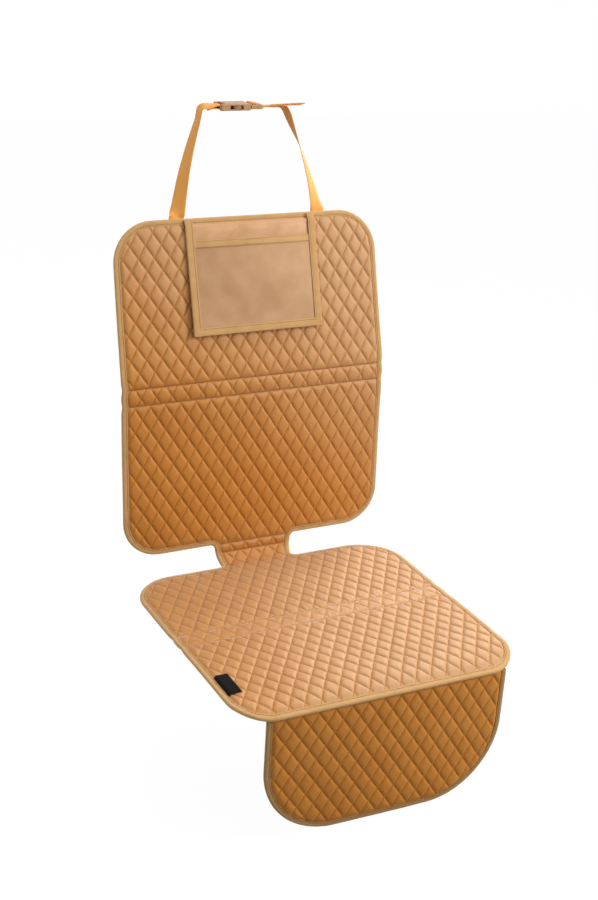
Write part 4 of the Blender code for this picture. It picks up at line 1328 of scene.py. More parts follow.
@dataclass
class Cover:
    """The mat itself: quilted seat part and back part, backing, binding and sewing."""

    front_quilt: tuple[float, float] = (0.0255, 0.0360)
    rear_quilt: tuple[float, float] = (0.0253, 0.0380)
    lower_quilt: tuple[float, float] = (0.0257, 0.0390)
    upper_quilt: tuple[float, float] = (0.0259, 0.0385)
    front_start: tuple[float, float] = (0.0113, 0.1415)
    rear_start: tuple[float, float] = (0.0236, -0.1183)
    lower_start: tuple[float, float] = (0.0088, 0.1141)
    upper_start: tuple[float, float] = (0.0205, 0.1203)

    def strips(self) -> tuple[list[QuiltStrip], list[QuiltStrip]]:
        """The quilting between the stitched levels, each strip with its own lattice.

        Returns:
            The seat part's strips and the back part's.
        """
        folds = MAT.folds()
        front = Lattice(*self.front_quilt, *self.front_start)
        rear = Lattice(*self.rear_quilt, self.rear_start[0], CURVE.seat_length + self.rear_start[1])
        lower = Lattice(*self.lower_quilt, self.lower_start[0], CURVE.back_start + self.lower_start[1])
        upper = Lattice(*self.upper_quilt, self.upper_start[0], CURVE.upper_start + self.upper_start[1])
        seat = [
            QuiltStrip(front, -0.01, folds[0]),
            QuiltStrip(rear, folds[0], folds[1]),
            QuiltStrip(rear, folds[1], folds[2]),
            QuiltStrip(lower, folds[2], folds[3]),
        ]
        back = [
            QuiltStrip(lower, folds[3], folds[4]),
            QuiltStrip(upper, folds[4], folds[5]),
            QuiltStrip(upper, folds[5], CURVE.top + 0.01),
        ]
        return seat, back

    def build(self, wardrobe: Wardrobe) -> None:
        """Makes and dresses every piece of the mat.

        Args:
            wardrobe: the object's finishes.
        """
        corners = MAT.corners()
        seat_strips, back_strips = self.strips()
        panels = []
        for name, strips in (("quilted_seat_part", seat_strips), ("quilted_back_part", back_strips)):
            panel = QuiltedPanel(name, corners, strips, MAT.place, MAT.folds())
            made = dress(panel.build(), wardrobe.leather)
            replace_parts(made, "quilted_mat")
            panels.append(made)
        backing = BackingSheet("backing_cloth", corners, MAT.place).build()
        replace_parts(dress(backing, wardrobe.grip), "anti_slip_backing")
        outline = Outline.rounded(corners)
        section = tape_section(MAT.binding_width, LAYERS.tape_bottom, LAYERS.tape_top, LAYERS.tape_wall)
        tape = Sweep(MAT.place, closed=True).build("edge_tape", outline.path(0.004), section, 0.00022)
        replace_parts(dress(tape, wardrobe.tape), "mat_binding")
        edge_sewing = self.edge_stitches(corners, wardrobe)
        fold_sewing = self.fold_stitches(corners, wardrobe)
        for piece in (*panels, backing, tape, edge_sewing, fold_sewing):
            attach(piece, Body.MAT.value)
        whole = (MAT.seat_rear_width, CURVE.top)
        outline.area()
        seat_area = outline.between(-0.01, MAT.folds()[3]).area()
        back_area = outline.between(MAT.folds()[3], CURVE.top + 0.01).area()
        seat_flat = (MAT.seat_rear_width, MAT.folds()[3])
        back_flat = (MAT.back_middle_width, CURVE.top - MAT.folds()[3])

    def edge_stitches(self, corners: list[Corner], wardrobe: Wardrobe) -> bpy.types.Object:
        """One row of stitches all round, near the binding's inner edge.

        Args:
            corners: the mat's corners.
            wardrobe: the object's finishes.

        Returns:
            The piece.
        """
        line = Outline.rounded(inset(corners, 0.76 * MAT.binding_width)).path(0.004)
        closed = np.concatenate([line, line[:1]])
        row = StitchRow(MAT.place).arrays(closed, lambda u, s: 0 * u + LAYERS.tape_top)
        return dress(sew("edge_stitches", [row]), wardrobe.dark_thread)

    def fold_stitches(self, corners: list[Corner], wardrobe: Wardrobe) -> bpy.types.Object:
        """A row of stitches along each fold line, from binding to binding.

        Args:
            corners: the mat's corners.
            wardrobe: the object's finishes.

        Returns:
            The piece.
        """
        sewn = Outline.rounded(inset(corners, MAT.binding_width))
        rows = []
        for number, fold in enumerate(MAT.folds()):
            level = fold - 0.0004 if fold == MAT.folds()[3] else fold
            reach = sewn.between(level - 0.001, level).points
            ends = reach[np.abs(reach[:, 1] - level) < 1e-5][:, 0]
            us = np.linspace(ends.min(), ends.max(), 400 if number < 2 else 80)
            path = np.column_stack([us, fold + MAT.wander(us, number)])
            height = LAYERS.stitch_top - (0.0013 if number < 2 else 0.0008)
            rows.append(StitchRow(MAT.place).arrays(path, lambda u, s, n=height: 0 * u + n))
        return dress(sew("fold_stitches", rows), wardrobe.thread)


def open_path(corners: list[Corner], step: float = 0.004, arc: float = 0.003) -> Array:
    """The outline without its top side, from the top left down and round to the top right.

    Args:
        corners: four corners, anticlockwise from the bottom left.
        step: the longest distance between two points.
        arc: the longest chord of a rounded corner.

    Returns:
        The path's points.
    """
    path = Outline.rounded(corners, arc).path(step)
    start = int(np.argmin(np.hypot(path[:, 0] - corners[3].u, path[:, 1] - corners[3].s)))
    turned = np.roll(path, -start, axis=0)
    end = int(np.argmin(np.hypot(turned[:, 0] - corners[2].u, turned[:, 1] - corners[2].s)))
    return turned[: end + 1]


# Front flap


@dataclass
class Flap:
    """The quilted flap that hangs in front of the seat part."""

    width: float = 0.394
    length: float = 0.203
    shift: float = 0.006
    corner: float = 0.120
    recess: float = 0.0035
    lean: float = math.radians(0.5)
    quilt: tuple[float, float] = (0.0263, 0.0375)
    start: tuple[float, float] = (0.0206, -0.0796)
    clearance: float = 0.0003
    tape_width: float = 0.0086
    stitch_share: float = 0.76

    def corners(self) -> list[Corner]:
        """Corners, with t upwards from the top edge, anticlockwise from the bottom left.

        Returns:
            Four corners.
        """
        left, right = self.shift - self.width / 2, self.shift + self.width / 2
        bottom = [Corner(left, -self.length, self.corner), Corner(right, -self.length, self.corner)]
        return bottom + [Corner(right, 0.0), Corner(left, 0.0)]

    def place(self, u: Array, t: Array, n: Array) -> Array:
        """Lays flat points over the hanging flap, with a slight sway at its foot.

        Args:
            u: distances across.
            t: distances upwards from the top edge.
            n: heights forwards.

        Returns:
            Points in the row frame, with the coordinates last.
        """
        u, t, n = np.broadcast_arrays(np.asarray(u, float), np.asarray(t, float), np.asarray(n, float))
        y, z, angle = CURVE.at(np.zeros(1))
        middle = CURVE.at(np.array([CURVE.seat_length / 2]))
        low = LAYERS.tape_bottom - self.clearance
        edge_y = (y - low * np.sin(angle) - middle[0])[0] + self.recess + LAYERS.tape_top
        edge_z = (z + low * np.cos(angle) - middle[1])[0] + math.tan(CURVE.front_roll_angle) * self.recess
        sway = 0.0016 * np.sin(17.0 * u + 0.4) * ease(-t / self.length)
        edge_z = edge_z - MAT.droop - MAT.droop_slope * u
        c, s = math.cos(self.lean), math.sin(self.lean)
        return np.stack([u, edge_y - s * t - c * (n + sway), edge_z + c * t - s * n], axis=-1)

    def build(self, wardrobe: Wardrobe) -> None:
        """Makes and dresses the flap's panel, lining, binding and stitches.

        Args:
            wardrobe: the object's finishes.
        """
        corners = self.corners()
        lattice = Lattice(*self.quilt, *self.start)
        strips = [QuiltStrip(lattice, -self.length, 0.0)]
        panel = dress(
            QuiltedPanel("flap_quilting", corners, strips, self.place, keep=(2,), edge_keep=(2,)).build(),
            wardrobe.flap_leather,
        )
        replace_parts(panel, "flap_panel")
        lining = BackingSheet("flap_lining_cloth", corners, self.place, keep=(2,)).build()
        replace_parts(dress(lining, wardrobe.grip), "flap_lining")
        outline = Outline.rounded(corners)
        section = tape_section(self.tape_width, LAYERS.tape_bottom, LAYERS.tape_top, LAYERS.tape_wall)
        tape = Sweep(self.place).build("flap_edge_tape", open_path(corners), section, ripple=0.0002)
        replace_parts(dress(tape, wardrobe.shaded_flap_tape), "flap_binding")
        line = open_path(inset(corners, self.stitch_share * self.tape_width, (2,)))
        row = StitchRow(self.place).arrays(line, lambda u, s: 0 * u + LAYERS.tape_top)
        sewing = dress(sew("flap_stitches", [row]), wardrobe.dark_thread)
        for piece in (panel, lining, tape, sewing):
            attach(piece, Body.MAT.value)
        area = outline.area()


# Pocket


@dataclass
class Pocket:
    """The flat pocket sewn under the top edge: backing, loose front, mouth tape and side tape."""

    width: float = 0.2245
    length: float = 0.1795
    shift: float = 0.0040
    top_drop: float = 0.0025
    corner: float = 0.0
    cloth: float = 0.0008
    tape_width: float = 0.013
    stitch_share: float = 0.80
    mouth_drop: float = 0.0382
    mouth_tape: float = 0.012
    stand_off: float = 0.005
    bulge: float = 0.011
    clearance: float = 0.0003

    @property
    def top(self) -> float:
        """Level of the pocket's top edge."""
        return CURVE.top - self.top_drop

    @property
    def mouth(self) -> float:
        """Level of the pocket's mouth."""
        return self.top - self.mouth_drop

    @property
    def margin(self) -> float:
        """Half the width between the side tapes."""
        return self.width / 2 - self.tape_width

    def rest(self, s: Array) -> Array:
        """Height of the backing's rear face: low over the binding, then over the pillows and off them.

        Args:
            s: distances along from the front edge.

        Returns:
            Heights above the mat's underside.
        """
        q = CURVE.top - s
        under = 2 * self.clearance + LAYERS.tape_wall
        low = LAYERS.tape_top + under
        high = LAYERS.quilt_top + under + self.stand_off * ease((q - MAT.binding_width) / self.length)
        return low + (high - low) * ease((q - 0.6 * MAT.binding_width) / (0.6 * MAT.binding_width))

    def place(self, u: Array, s: Array, n: Array) -> Array:
        """Lays flat points over the pocket's resting surface."""
        return MAT.place(u, s, self.rest(np.asarray(s, float)) + n)

    def swell(self, u: Array, s: Array) -> Array:
        """How far the front stands off: a parabola across, easing to nothing at the lower tape.

        Args:
            u: distances across.
            s: distances along from the front edge.

        Returns:
            Distances off the backing.
        """
        half = self.margin
        low = self.top - self.length + self.tape_width
        across = np.clip(1 - ((u - self.shift) / half) ** 2, 0.0, 1.0)
        along = np.clip((s - low) / (self.mouth - low), 0.0, 1.0)
        return self.bulge * across * ease(1.6 * along)

    def wrinkle(self, u: Array, s: Array) -> Array:
        """Soft slanting folds of the loose front: warped waves that fade towards the tapes.

        Args:
            u: distances across.
            s: distances along from the front edge.

        Returns:
            Heights to add to the front.
        """
        x, y = u - self.shift, s - (self.top - self.length)
        warp = 0.9 * np.sin(31.0 * x + 22.0 * y) + 0.6 * np.sin(57.0 * y - 18.0 * x + 1.3)
        waves = np.sin(92.0 * x + 61.0 * y + warp) * 0.55
        waves = waves + 0.45 * np.sin(143.0 * x - 84.0 * y + 1.6 * warp + 0.8)
        waves = waves + 0.30 * np.sin(55.0 * x - 150.0 * y + warp)
        fade = ease((self.margin - np.abs(x)) / 0.018) * ease((y - self.tape_width) / 0.02)
        foot = np.exp(-((y - self.tape_width) / 0.030) ** 2)
        return (0.00055 + 0.0006 * foot) * waves * fade

    def gathers(self, u: Array, s: Array) -> Array:
        """Folds of the backing above the mouth, fanning down from the top binding.

        Args:
            u: distances across.
            s: distances along from the front edge.

        Returns:
            Heights to add to the backing.
        """
        x, q = u - self.shift, CURVE.top - s
        fan = x + 0.9 * (q - 0.0115)
        waves = np.sin(2 * math.pi * fan / 0.071 + 0.9 * np.sin(40 * x))
        waves = waves + 0.4 * np.sin(2 * math.pi * fan / 0.031 + 1.0)
        band = ease((q - 0.012) / 0.010) * (1 - ease((q - 0.045) / 0.03))
        fade = ease((self.margin - np.abs(x)) / 0.02)
        return 0.0014 * (waves + 1.2) * band * fade

    def sheet(self, name: str, us: Array, ss: Array, low: Callable, high: Callable) -> bpy.types.Object:
        """A closed sheet on a grid between two height functions.

        Args:
            name: the piece's name.
            us: the grid's distances across.
            ss: the grid's distances along.
            low: gives the rear face's heights.
            high: gives the front face's heights.

        Returns:
            The object.
        """
        u, s = np.meshgrid(us, ss)
        flat = np.stack([u, s], axis=-1).reshape(-1, 2)
        triangles = split_quads(grid_quads(len(ss), len(us), False))
        bottom = MAT.place(u, s, low(u, s)).reshape(-1, 3)
        top = MAT.place(u, s, high(u, s)).reshape(-1, 3)
        points, faces = shell(top, bottom, triangles)
        return add_mesh(name, points, faces, {"run": np.concatenate([flat, flat])})

    def backing(self) -> bpy.types.Object:
        """The rear layer: under the top binding, then over the pillows, gathered above the mouth.

        Returns:
            The object.
        """
        thin = 0.0003
        half = self.width / 2 - 0.0024

        def rear(u: Array, s: Array) -> Array:
            """Height of the rear face: low under the top binding, then over the pillows.

            Args:
                u: distances across.
                s: distances along from the front edge.

            Returns:
                Heights above the mat's underside.
            """
            q = CURVE.top - s
            out = ease((q - 0.0086) / 0.0030)
            hidden = LAYERS.edge_top + 0.00002
            return hidden + (self.rest(s) - hidden + self.gathers(u, s)) * out

        us = self.shift + np.linspace(-half, half, 110)
        ss = np.linspace(self.top - self.length + 0.0024, CURVE.top - 0.0045, 90)
        return self.sheet("pocket_rear_cloth", us, ss, rear, lambda u, s: rear(u, s) + thin)

    def front(self) -> bpy.types.Object:
        """The front layer: swelling and wrinkled, from the lower tape up to the mouth.

        Returns:
            The object.
        """
        base = self.cloth + self.clearance
        half = self.width / 2 - 0.0024

        def rear(u: Array, s: Array) -> Array:
            """Height of the rear face."""
            return self.rest(s) + base + self.swell(u, s) + self.wrinkle(u, s)

        us = self.shift + np.linspace(-half, half, 130)
        ss = np.linspace(self.top - self.length + 0.0024, self.mouth + 0.4 * self.mouth_tape, 90)
        return self.sheet("pocket_front_cloth", us, ss, rear, lambda u, s: rear(u, s) + 0.0006)

    def mouth_band(self) -> bpy.types.Object:
        """The tape folded over the mouth: thin, on both faces of the front and over its top edge.

        Returns:
            The object.
        """
        base = self.cloth + self.clearance
        us = self.shift + np.linspace(-self.margin + 0.0004, self.margin - 0.0004, 90)
        half = self.mouth_tape / 2
        turn = np.linspace(-math.pi / 2, math.pi / 2, 7)
        thick = 0.0011
        lift = np.concatenate([np.full(6, -thick), thick * np.sin(turn), np.full(6, thick)])
        down = np.linspace(2 * half, 0.002, 6)
        down = np.concatenate([down, thick * (1 - np.cos(turn)), down[::-1]])
        lift = lift + np.concatenate([np.zeros(13), 0.0003 * np.sin(np.linspace(0, math.pi, 6))])
        u, down = np.meshgrid(us, down)
        lift = np.repeat(lift[:, None], len(us), axis=1)
        s = self.mouth + half - down
        n = self.rest(s) + base + 0.0003 + self.swell(u, s) + self.wrinkle(u, s) + lift
        points = MAT.place(u, s, n)
        rows, columns = points.shape[:2]
        quads = grid_quads(rows, columns, False)[:, ::-1]
        ring = np.arange(rows) * columns
        low, high = np.arange(columns)[::-1], (rows - 1) * columns + np.arange(columns)
        join = np.stack([low[1:], low[:-1], high[::-1][:-1], high[::-1][1:]], axis=-1)
        walk = np.linspace(0, 4 * half, rows)
        uv = np.stack(np.broadcast_arrays(walk[:, None], us[None, :]), axis=-1)
        ends = [ring[None, :], (ring + columns - 1)[None, ::-1]]
        maps = {"run": uv.reshape(-1, 2)}
        return add_mesh("pocket_mouth_band", points.reshape(-1, 3), [quads, join, *ends], maps)

    def corners(self) -> list[Corner]:
        """Corners, anticlockwise from the bottom left.

        Returns:
            Four corners.
        """
        left, right = self.shift - self.width / 2, self.shift + self.width / 2
        low = self.top - self.length
        bottom = [Corner(left, low, self.corner), Corner(right, low, self.corner)]
        return bottom + [Corner(right, self.top), Corner(left, self.top)]

    def build(self, wardrobe: Wardrobe) -> None:
        """Makes and dresses the pocket's pieces.

        Args:
            wardrobe: the object's finishes.
        """
        rear = dress(self.backing(), wardrobe.lining)
        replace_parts(rear, "pocket_backing")
        front = dress(self.front(), wardrobe.cloth)
        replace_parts(front, "pocket_front")
        band = dress(self.mouth_band(), wardrobe.tape)
        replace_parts(band, "pocket_mouth_tape")
        low = -self.clearance - LAYERS.tape_wall
        high = 2 * self.cloth + 2 * self.clearance + LAYERS.tape_wall
        section = tape_section(self.tape_width, low, high, 0.0006)
        rim = open_path(self.corners(), arc=0.0015)
        tape = Sweep(self.place).build("pocket_side_tape", rim, section, ripple=0.00018)
        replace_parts(dress(tape, wardrobe.tape), "pocket_tape")
        line = open_path(inset(self.corners(), self.stitch_share * self.tape_width, (2,)), arc=0.0015)
        fine = StitchRow(self.place, pitch=0.0034, length=0.0026, thread=0.0005)
        rows = [fine.arrays(line, lambda u, s: 0 * u + high - 0.0001)]
        base = self.cloth + self.clearance

        def band_top(u: Array, s: Array) -> Array:
            """Height of the mouth tape's face."""
            return base + 0.0015 + self.swell(u, s) + self.wrinkle(u, s)

        for share in (-0.38, 0.36):
            level = self.mouth + share * self.mouth_tape
            us = self.shift + np.linspace(-self.margin + 0.002, self.margin - 0.002, 60)
            path = np.column_stack([us, np.full(60, level)])
            rows.append(fine.arrays(path, band_top))
        box = np.array([[-1, -1], [1, -1], [1, 1], [-1, 1], [-1, -1]]) * np.array([0.014, 0.0036])
        tight = StitchRow(self.place, pitch=0.0024, length=0.0019, thread=0.0005)
        rows.append(tight.arrays(box + [self.shift - 0.003, self.mouth], band_top))
        sewing = dress(sew("pocket_stitches", rows), wardrobe.dark_thread)
        for piece in (rear, front, band, tape, sewing):
            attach(piece, Body.MAT.value)


# Label


@dataclass
class Label:
    """The bare black label sewn in at the seat part's left edge."""

    length: float = 0.052
    width: float = 0.022
    thickness: float = 0.0006
    from_front: float = 0.090
    tuck: float = 0.0080

    def build(self, wardrobe: Wardrobe) -> None:
        """Makes the label as a thin sheet from under the tape over the pillows, with soft edges.

        Args:
            wardrobe: the object's finishes.
        """
        edge = -(MAT.seat_front_width + 0.15 * (MAT.seat_rear_width - MAT.seat_front_width)) / 2
        us = edge + self.tuck + np.linspace(0.0, self.width, 24)
        ss = self.from_front + np.linspace(-0.5, 0.5, 50) * self.length
        u, s = np.meshgrid(us, ss)
        reach = u - edge
        free = ease((reach - MAT.binding_width + 0.0004) / 0.0015)
        low = LAYERS.edge_top + 0.0001 + 0.0006 * free
        climb = ease((reach - MAT.binding_width + 0.0010) / 0.0044)
        low = low + (LAYERS.quilt_top - LAYERS.edge_top) * climb
        rim = np.minimum(self.tuck + self.width - reach, self.length / 2 - np.abs(s - self.from_front))
        height = low + (0.0002 + (self.thickness - 0.0002) * free) * np.clip(rim / 0.0012 + 0.4, 0.4, 1.0)
        flat = np.stack([u, s], axis=-1).reshape(-1, 2)
        top = MAT.place(u, s, height).reshape(-1, 3)
        bottom = MAT.place(u, s, low).reshape(-1, 3)
        points, faces = shell(top, bottom, split_quads(grid_quads(len(ss), len(us), False)))
        piece = add_mesh("black_label", points, faces, {"run": np.concatenate([flat, flat])})
        dress(piece, wardrobe.label)
        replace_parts(piece, "side_label")
        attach(piece, Body.MAT.value)


# Webbing


@dataclass
class Webbing:
    """The two webbing legs, swept through the same places as the frame's."""

    width: float = 0.024
    thickness: float = 0.0012
    rise: float = 0.168
    sewn_length: float = 0.040
    tilt: float = math.radians(12)
    tail_tilt: float = math.radians(-16)
    tilt_length: float = 0.020
    corner_rows: int = 2
    buckle_left: float = -0.0365
    buckle_right: float = 0.0380

    def __post_init__(self) -> None:
        """Works out the height behind the back and the corner level."""
        self.behind = LAYERS.tape_bottom - 0.0003 - self.thickness / 2
        self.lean = CURVE.upper_back_angle
        self.summit = self.spot(np.zeros(1), np.array([self.rise]))[0]

    def spot(self, u: Array, q: Array) -> Array:
        """Points behind the back at u across and q over the top edge.

        Args:
            u: distances across.
            q: distances over the top edge.

        Returns:
            Points, with the coordinates last.
        """
        y, z, angle = CURVE.at(CURVE.top + q)
        middle = CURVE.at(np.array([CURVE.seat_length / 2]))
        y = y - self.behind * np.sin(angle) - middle[0][0]
        z = z + self.behind * np.cos(angle) - middle[1][0]
        return np.stack([u, y, z], axis=-1)

    def smooth(self, rows: Array, per_span: int) -> Array:
        """A curve through the rows: each span is a cubic with its ends' mean slopes.

        Args:
            rows: the places, one row each.
            per_span: points for each span.

        Returns:
            The curve's rows.
        """
        full = np.concatenate([rows[:1], rows, rows[-1:]])
        a, b, c, d = full[:-3], full[1:-2], full[2:-1], full[3:]
        t = (np.arange(per_span) / per_span)[None, :, None]
        a, b, c, d = (part[:, None, :] for part in (a, b, c, d))
        curve = b + 0.5 * t * (c - a + t * (2 * a - 5 * b + 4 * c - d + t * (3 * (b - c) + d - a)))
        return np.concatenate([curve.reshape(-1, rows.shape[1]), rows[-1:]])

    def leg(self, rows: list[tuple[float, float, float]]) -> tuple[Array, Array]:
        """Follows a leg from behind the back up to its corner.

        Args:
            rows: across, height over the top edge and twist in degrees.

        Returns:
            Centres and directions across.
        """
        u, q, twist = self.smooth(np.array(rows), 5).T
        turn = np.radians(twist)
        back = np.array([0.0, math.sin(self.lean), -math.cos(self.lean)])
        side = np.cos(turn)[:, None] * np.array([1.0, 0.0, 0.0]) + np.sin(turn)[:, None] * back
        return self.spot(u, q), side

    def run(
        self, rows: list[tuple[float, float]], ends: tuple[float, float], across: float, end_tilt: float
    ) -> tuple[Array, Array]:
        """Follows the level run from its corner to the buckle and back.

        Args:
            rows: x and height over the corner level.
            ends: the stretch of x inside the buckle, where the webbing lies flat.
            across: 1 or -1, the side that its width points to.
            end_tilt: how far it leans away from the buckle.

        Returns:
            Centres and directions across.
        """
        per_span = 4
        x, z = self.smooth(np.array(rows), per_span).T
        away = np.maximum(np.maximum(ends[0] - x, x - ends[1]), 0.0)
        leg = ease(1 - np.arange(len(x)) / (per_span * self.corner_rows))
        tilt = (1 - leg) * end_tilt * ease(away / self.tilt_length) - leg * self.tilt
        side = np.stack([0 * x, across * np.cos(tilt), across * np.sin(tilt)], axis=-1)
        y = self.summit[1] + leg * z / math.tan(self.lean)
        return np.stack([x, y, self.summit[2] + z], axis=-1), side

    def strap(self, name: str, parts: list[tuple[Array, Array]]) -> bpy.types.Object:
        """Carries a flat section with rounded edges along the centres: centre + across * w + up * h.

        Args:
            name: the piece's name.
            parts: centres and directions across of each stretch.

        Returns:
            The object, with the map "run" of metres across and along.
        """
        centre = np.concatenate([part[0] for part in parts])
        side = np.concatenate([part[1] for part in parts])
        ahead = np.gradient(centre, axis=0)
        ahead /= np.linalg.norm(ahead, axis=1)[:, None]
        side = side - ahead * np.sum(side * ahead, axis=1)[:, None]
        side /= np.linalg.norm(side, axis=1)[:, None]
        up = np.cross(side, ahead)
        half, thin = self.width / 2, self.thickness / 2
        w = np.array([-1.0, -0.97, -0.6, 0.0, 0.6, 0.97, 1.0, 0.97, 0.6, 0.0, -0.6, -0.97]) * half
        h = np.array([0.0, -0.9, -1.0, -1.0, -1.0, -0.9, 0.0, 0.9, 1.0, 1.0, 1.0, 0.9]) * thin
        points = centre[:, None] + side[:, None] * w[None, :, None] + up[:, None] * h[None, :, None]
        rows, columns = points.shape[:2]
        along = np.concatenate([[0.0], np.cumsum(np.linalg.norm(np.diff(centre, axis=0), axis=1))])
        uv = np.stack(np.broadcast_arrays(w[None, :] + half, along[:, None]), axis=-1)
        quads = grid_quads(rows, columns, True)[:, ::-1]
        ends = [np.arange(columns)[None, :], np.arange((rows - 1) * columns, rows * columns)[None, ::-1]]
        return add_mesh(name, points.reshape(-1, 3), [quads, *ends], {"run": uv.reshape(-1, 2)})

    def left(self) -> bpy.types.Object:
        """The left leg, over its corner and round the socket's bar.

        Returns:
            The object.
        """
        leg = [
            (-0.1268, -self.sewn_length, 0.0),
            (-0.1222, -self.sewn_length / 2, 0.0),
            (-0.1174, 0.0, 0.0),
            (-0.1163, 0.004, 0.0),
            (-0.1128, 0.016, -38.0),
            (-0.0993, 0.067, -63.0),
            (-0.0842, 0.111, -77.0),
            (-0.0688, 0.150, -89.0),
        ]
        bar, bar_half = self.buckle_left + 0.0036, 0.0016
        over, corner = 0.0025, 0.00102
        run = [
            (-0.0664, -0.0090),
            (-0.0630, -0.0030),
            (-0.0570, 0.0000),
            (-0.0480, 0.0015),
            (bar - 0.0025, over),
            (bar + bar_half - 0.0010, over + 0.0001),
            (bar + bar_half + corner, bar_half + corner),
            (bar + 0.0027, 0.0),
            (bar + bar_half + corner, -bar_half - corner),
            (bar + bar_half - 0.0010, -over - 0.0001),
            (bar - bar_half, -over),
            (bar - 0.0055, -over + 0.0002),
            (-0.0480, -0.0008),
            (-0.0560, -0.0020),
        ]
        level = self.run(run, (self.buckle_left, 1.0), -1.0, self.tilt)
        return self.strap("webbing_left", [self.leg(leg), level])

    def right(self) -> bpy.types.Object:
        """The right leg, over its corner, round the clip's bar and back as a free tail.

        Returns:
            The object.
        """
        leg = [
            (0.1348, -self.sewn_length, 0.0),
            (0.1312, -self.sewn_length / 2, 0.0),
            (0.1280, 0.0, 0.0),
            (0.1273, 0.004, 0.0),
            (0.1254, 0.014, 20.0),
            (0.1202, 0.042, 38.0),
            (0.1125, 0.074, 51.0),
            (0.1031, 0.106, 62.0),
            (0.0924, 0.135, 80.0),
            (0.0869, 0.151, 89.0),
        ]
        end = self.buckle_right
        bar, turn = 0.02355, 0.00175
        middle, over, side, corner, tail = 0.0025, 0.0024, 0.00265, 0.00102, 0.0001
        load, top = -0.0014, 0.0040
        run = [
            (0.0839, -0.0090),
            (0.0794, load - 0.0014),
            (0.0700, load),
            (end, load),
            (bar + 0.0040, load),
            (bar - 0.3 * side, load + 0.0003),
            (bar - 0.9 * side, load + 0.0014),
            (bar - side - 0.0002, middle),
            (bar - turn - corner, top + corner),
            (bar - turn + 0.0008, middle + over + 0.0001),
            (bar + turn - 0.0008, middle + over + 0.0001),
            (bar + turn + corner, top + corner),
            (bar + side + 0.0003, middle),
            (bar + side + 0.0010, tail + 0.0010),
            (bar + side + 0.0040, tail),
            (end, tail),
            (0.0700, tail + 0.0001),
            (0.0930, tail + 0.0008),
            (0.1134, tail + 0.0010),
        ]
        level = self.run(run, (-1.0, self.buckle_right), 1.0, self.tail_tilt)
        return self.strap("webbing_right", [self.leg(leg), level])

    def build(self, wardrobe: Wardrobe) -> None:
        """Makes and dresses both legs; the left one is attached to the mat and the right one is baked in
        place.

        Args:
            wardrobe: the object's finishes.
        """
        left = dress(self.left(), wardrobe.webbing)
        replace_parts(left, "strap_left")
        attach(left, Body.MAT.value)
        right = dress(self.right(), wardrobe.webbing)
        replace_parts(right, "strap_right")
        start = self.spot(np.array([0.128]), np.array([0.002]))[0]
        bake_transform(right)


# Buckle, light and camera


@dataclass
class Buckle:
    """The moulded socket and clip, which keep the frame's own shapes."""

    nodes: tuple[str, ...] = ("buckle_socket", "buckle_clip")

    def build(self, wardrobe: Wardrobe) -> None:
        """Gives both halves the moulded finish.

        Args:
            wardrobe: the object's finishes.
        """
        for name in self.nodes:
            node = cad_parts[name]
            node.data.materials.clear()
            node.data.materials.append(wardrobe.plastic)
            log.info("%s: %d faces", name, len(node.data.polygons))


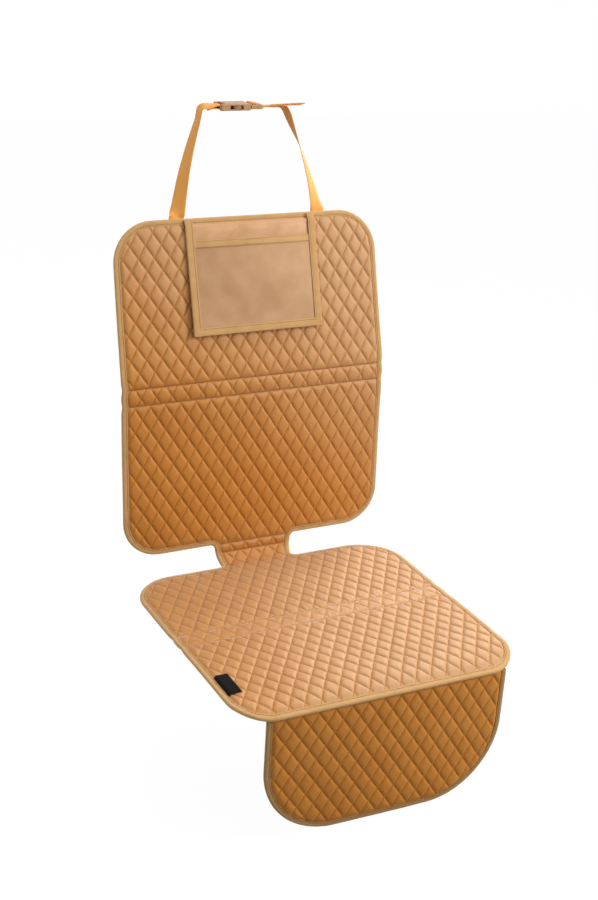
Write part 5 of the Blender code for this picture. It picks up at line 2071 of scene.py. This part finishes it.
@dataclass
class Studio:
    """White surroundings, soft lamps and the camera of the photograph."""

    focal: float = 1410.0
    long_side: float = 900.0
    spot: tuple[float, float, float] = (-0.9475, -1.6655, 1.0371)
    heading: float = math.radians(28.271)
    dip: float = math.radians(21.581)
    roll: float = math.radians(3.18)
    floor_drop: float = 0.007
    world_light: float = 0.30

    def surroundings(self) -> None:
        """A white world for the camera and for gloss, and a dimmer one as light."""
        world = bpy.data.worlds.new("white studio")
        bpy.context.scene.world = world
        world.use_nodes = True
        tree = world.node_tree
        shine = tree.nodes["Background"]
        path = tree.nodes.new("ShaderNodeLightPath")
        seen = tree.nodes.new("ShaderNodeMath")
        seen.operation = "MAXIMUM"
        tree.links.new(path.outputs["Is Camera Ray"], seen.inputs[0])
        tree.links.new(path.outputs["Is Glossy Ray"], seen.inputs[1])
        both = tree.nodes.new("ShaderNodeMath")
        both.operation = "MAXIMUM"
        tree.links.new(seen.outputs[0], both.inputs[0])
        tree.links.new(path.outputs["Is Transmission Ray"], both.inputs[1])
        level = tree.nodes.new("ShaderNodeMapRange")
        level.inputs["To Min"].default_value = self.world_light
        level.inputs["To Max"].default_value = 1.0
        tree.links.new(both.outputs[0], level.inputs["Value"])
        tree.links.new(level.outputs[0], shine.inputs["Strength"])
        shine.inputs["Color"].default_value = (1.0, 1.0, 1.0, 1.0)

    def floor(self) -> None:
        """A pale floor under the flap, white to the camera apart from a faint shadow."""
        low = CAD_BOX[0][2] - self.floor_drop
        corners = np.array([[-6, -6, low], [6, -6, low], [6, 6, low], [-6, 6, low]], float)
        ground = add_mesh("studio_floor", corners, [np.array([[0, 1, 2, 3]])], {})
        nodes = Nodes("studio floor")
        matt = nodes.finish(Base_Color=(0.45, 0.45, 0.45), Roughness=0.9)
        path = nodes.add("LightPath")
        white = nodes.add("Emission", {"Color": (1.0, 1.0, 1.0, 1.0), "Strength": 1.08})
        share = nodes.maths("MULTIPLY", path.outputs["Is Camera Ray"], 0.90)
        mix = nodes.add("MixShader", {0: share, 1: nodes.shader.outputs[0], 2: white.outputs[0]})
        output = next(node for node in nodes.tree.nodes if node.type == "OUTPUT_MATERIAL")
        nodes.tree.links.new(mix.outputs[0], output.inputs["Surface"])
        ground.data.materials.append(matt)

    def lamp(self, name: str, place: tuple[float, float, float], size: float, power: float) -> None:
        """A square area lamp aimed at the middle of the mat.

        Args:
            name: the lamp's name.
            place: where it stands.
            size: its side.
            power: its power in watts.
        """
        data = bpy.data.lights.new(name, "AREA")
        data.shape = "SQUARE"
        data.size = size
        data.energy = power
        lamp = bpy.data.objects.new(name, data)
        bpy.context.scene.collection.objects.link(lamp)
        target = Vector((0.0, 0.05, 0.15))
        lamp.location = place
        lamp.rotation_euler = (target - Vector(place)).to_track_quat("-Z", "Y").to_euler()

    def camera(self) -> None:
        """The photograph's camera from its place, heading, dip, roll and focal length in pixels."""
        data = bpy.data.cameras.new("photo camera")
        data.lens = self.focal / self.long_side * data.sensor_width
        data.clip_start, data.clip_end = 0.05, 50.0
        made = bpy.data.objects.new("photo camera", data)
        bpy.context.scene.collection.objects.link(made)
        ahead = Vector((
            math.sin(self.heading) * math.cos(self.dip),
            math.cos(self.heading) * math.cos(self.dip),
            -math.sin(self.dip),
        ))
        level = Vector((math.cos(self.heading), -math.sin(self.heading), 0.0))
        upright = level.cross(ahead)
        right = level * math.cos(self.roll) + upright * math.sin(self.roll)
        up = upright * math.cos(self.roll) - level * math.sin(self.roll)
        turn = Matrix((right, up, -ahead)).transposed()
        made.matrix_world = Matrix.Translation(self.spot) @ turn.to_4x4()
        bpy.context.scene.camera = made

    def build(self) -> None:
        """Sets up the whole studio."""
        bpy.context.scene.view_settings.view_transform = "Standard"
        self.surroundings()
        self.floor()
        self.lamp("front right lamp", (1.5, -1.1, 1.25), 1.1, 36.0)
        self.lamp("rear right lamp", (1.5, 1.1, 1.3), 1.0, 26.0)
        self.lamp("overhead lamp", (0.3, -0.2, 2.4), 1.4, 14.0)
        self.lamp("left lamp", (-1.8, 0.4, 1.0), 0.9, 9.0)
        self.camera()


def main() -> None:
    """Builds the studio and every part of the mat."""
    logging.basicConfig(level=logging.INFO, format="%(name)s: %(message)s")
    wardrobe = Wardrobe()
    Studio().build()
    Cover().build(wardrobe)
    Flap().build(wardrobe)
    Pocket().build(wardrobe)
    Label().build(wardrobe)
    Webbing().build(wardrobe)
    Buckle().build(wardrobe)


if __name__ == "__main__":
    main()
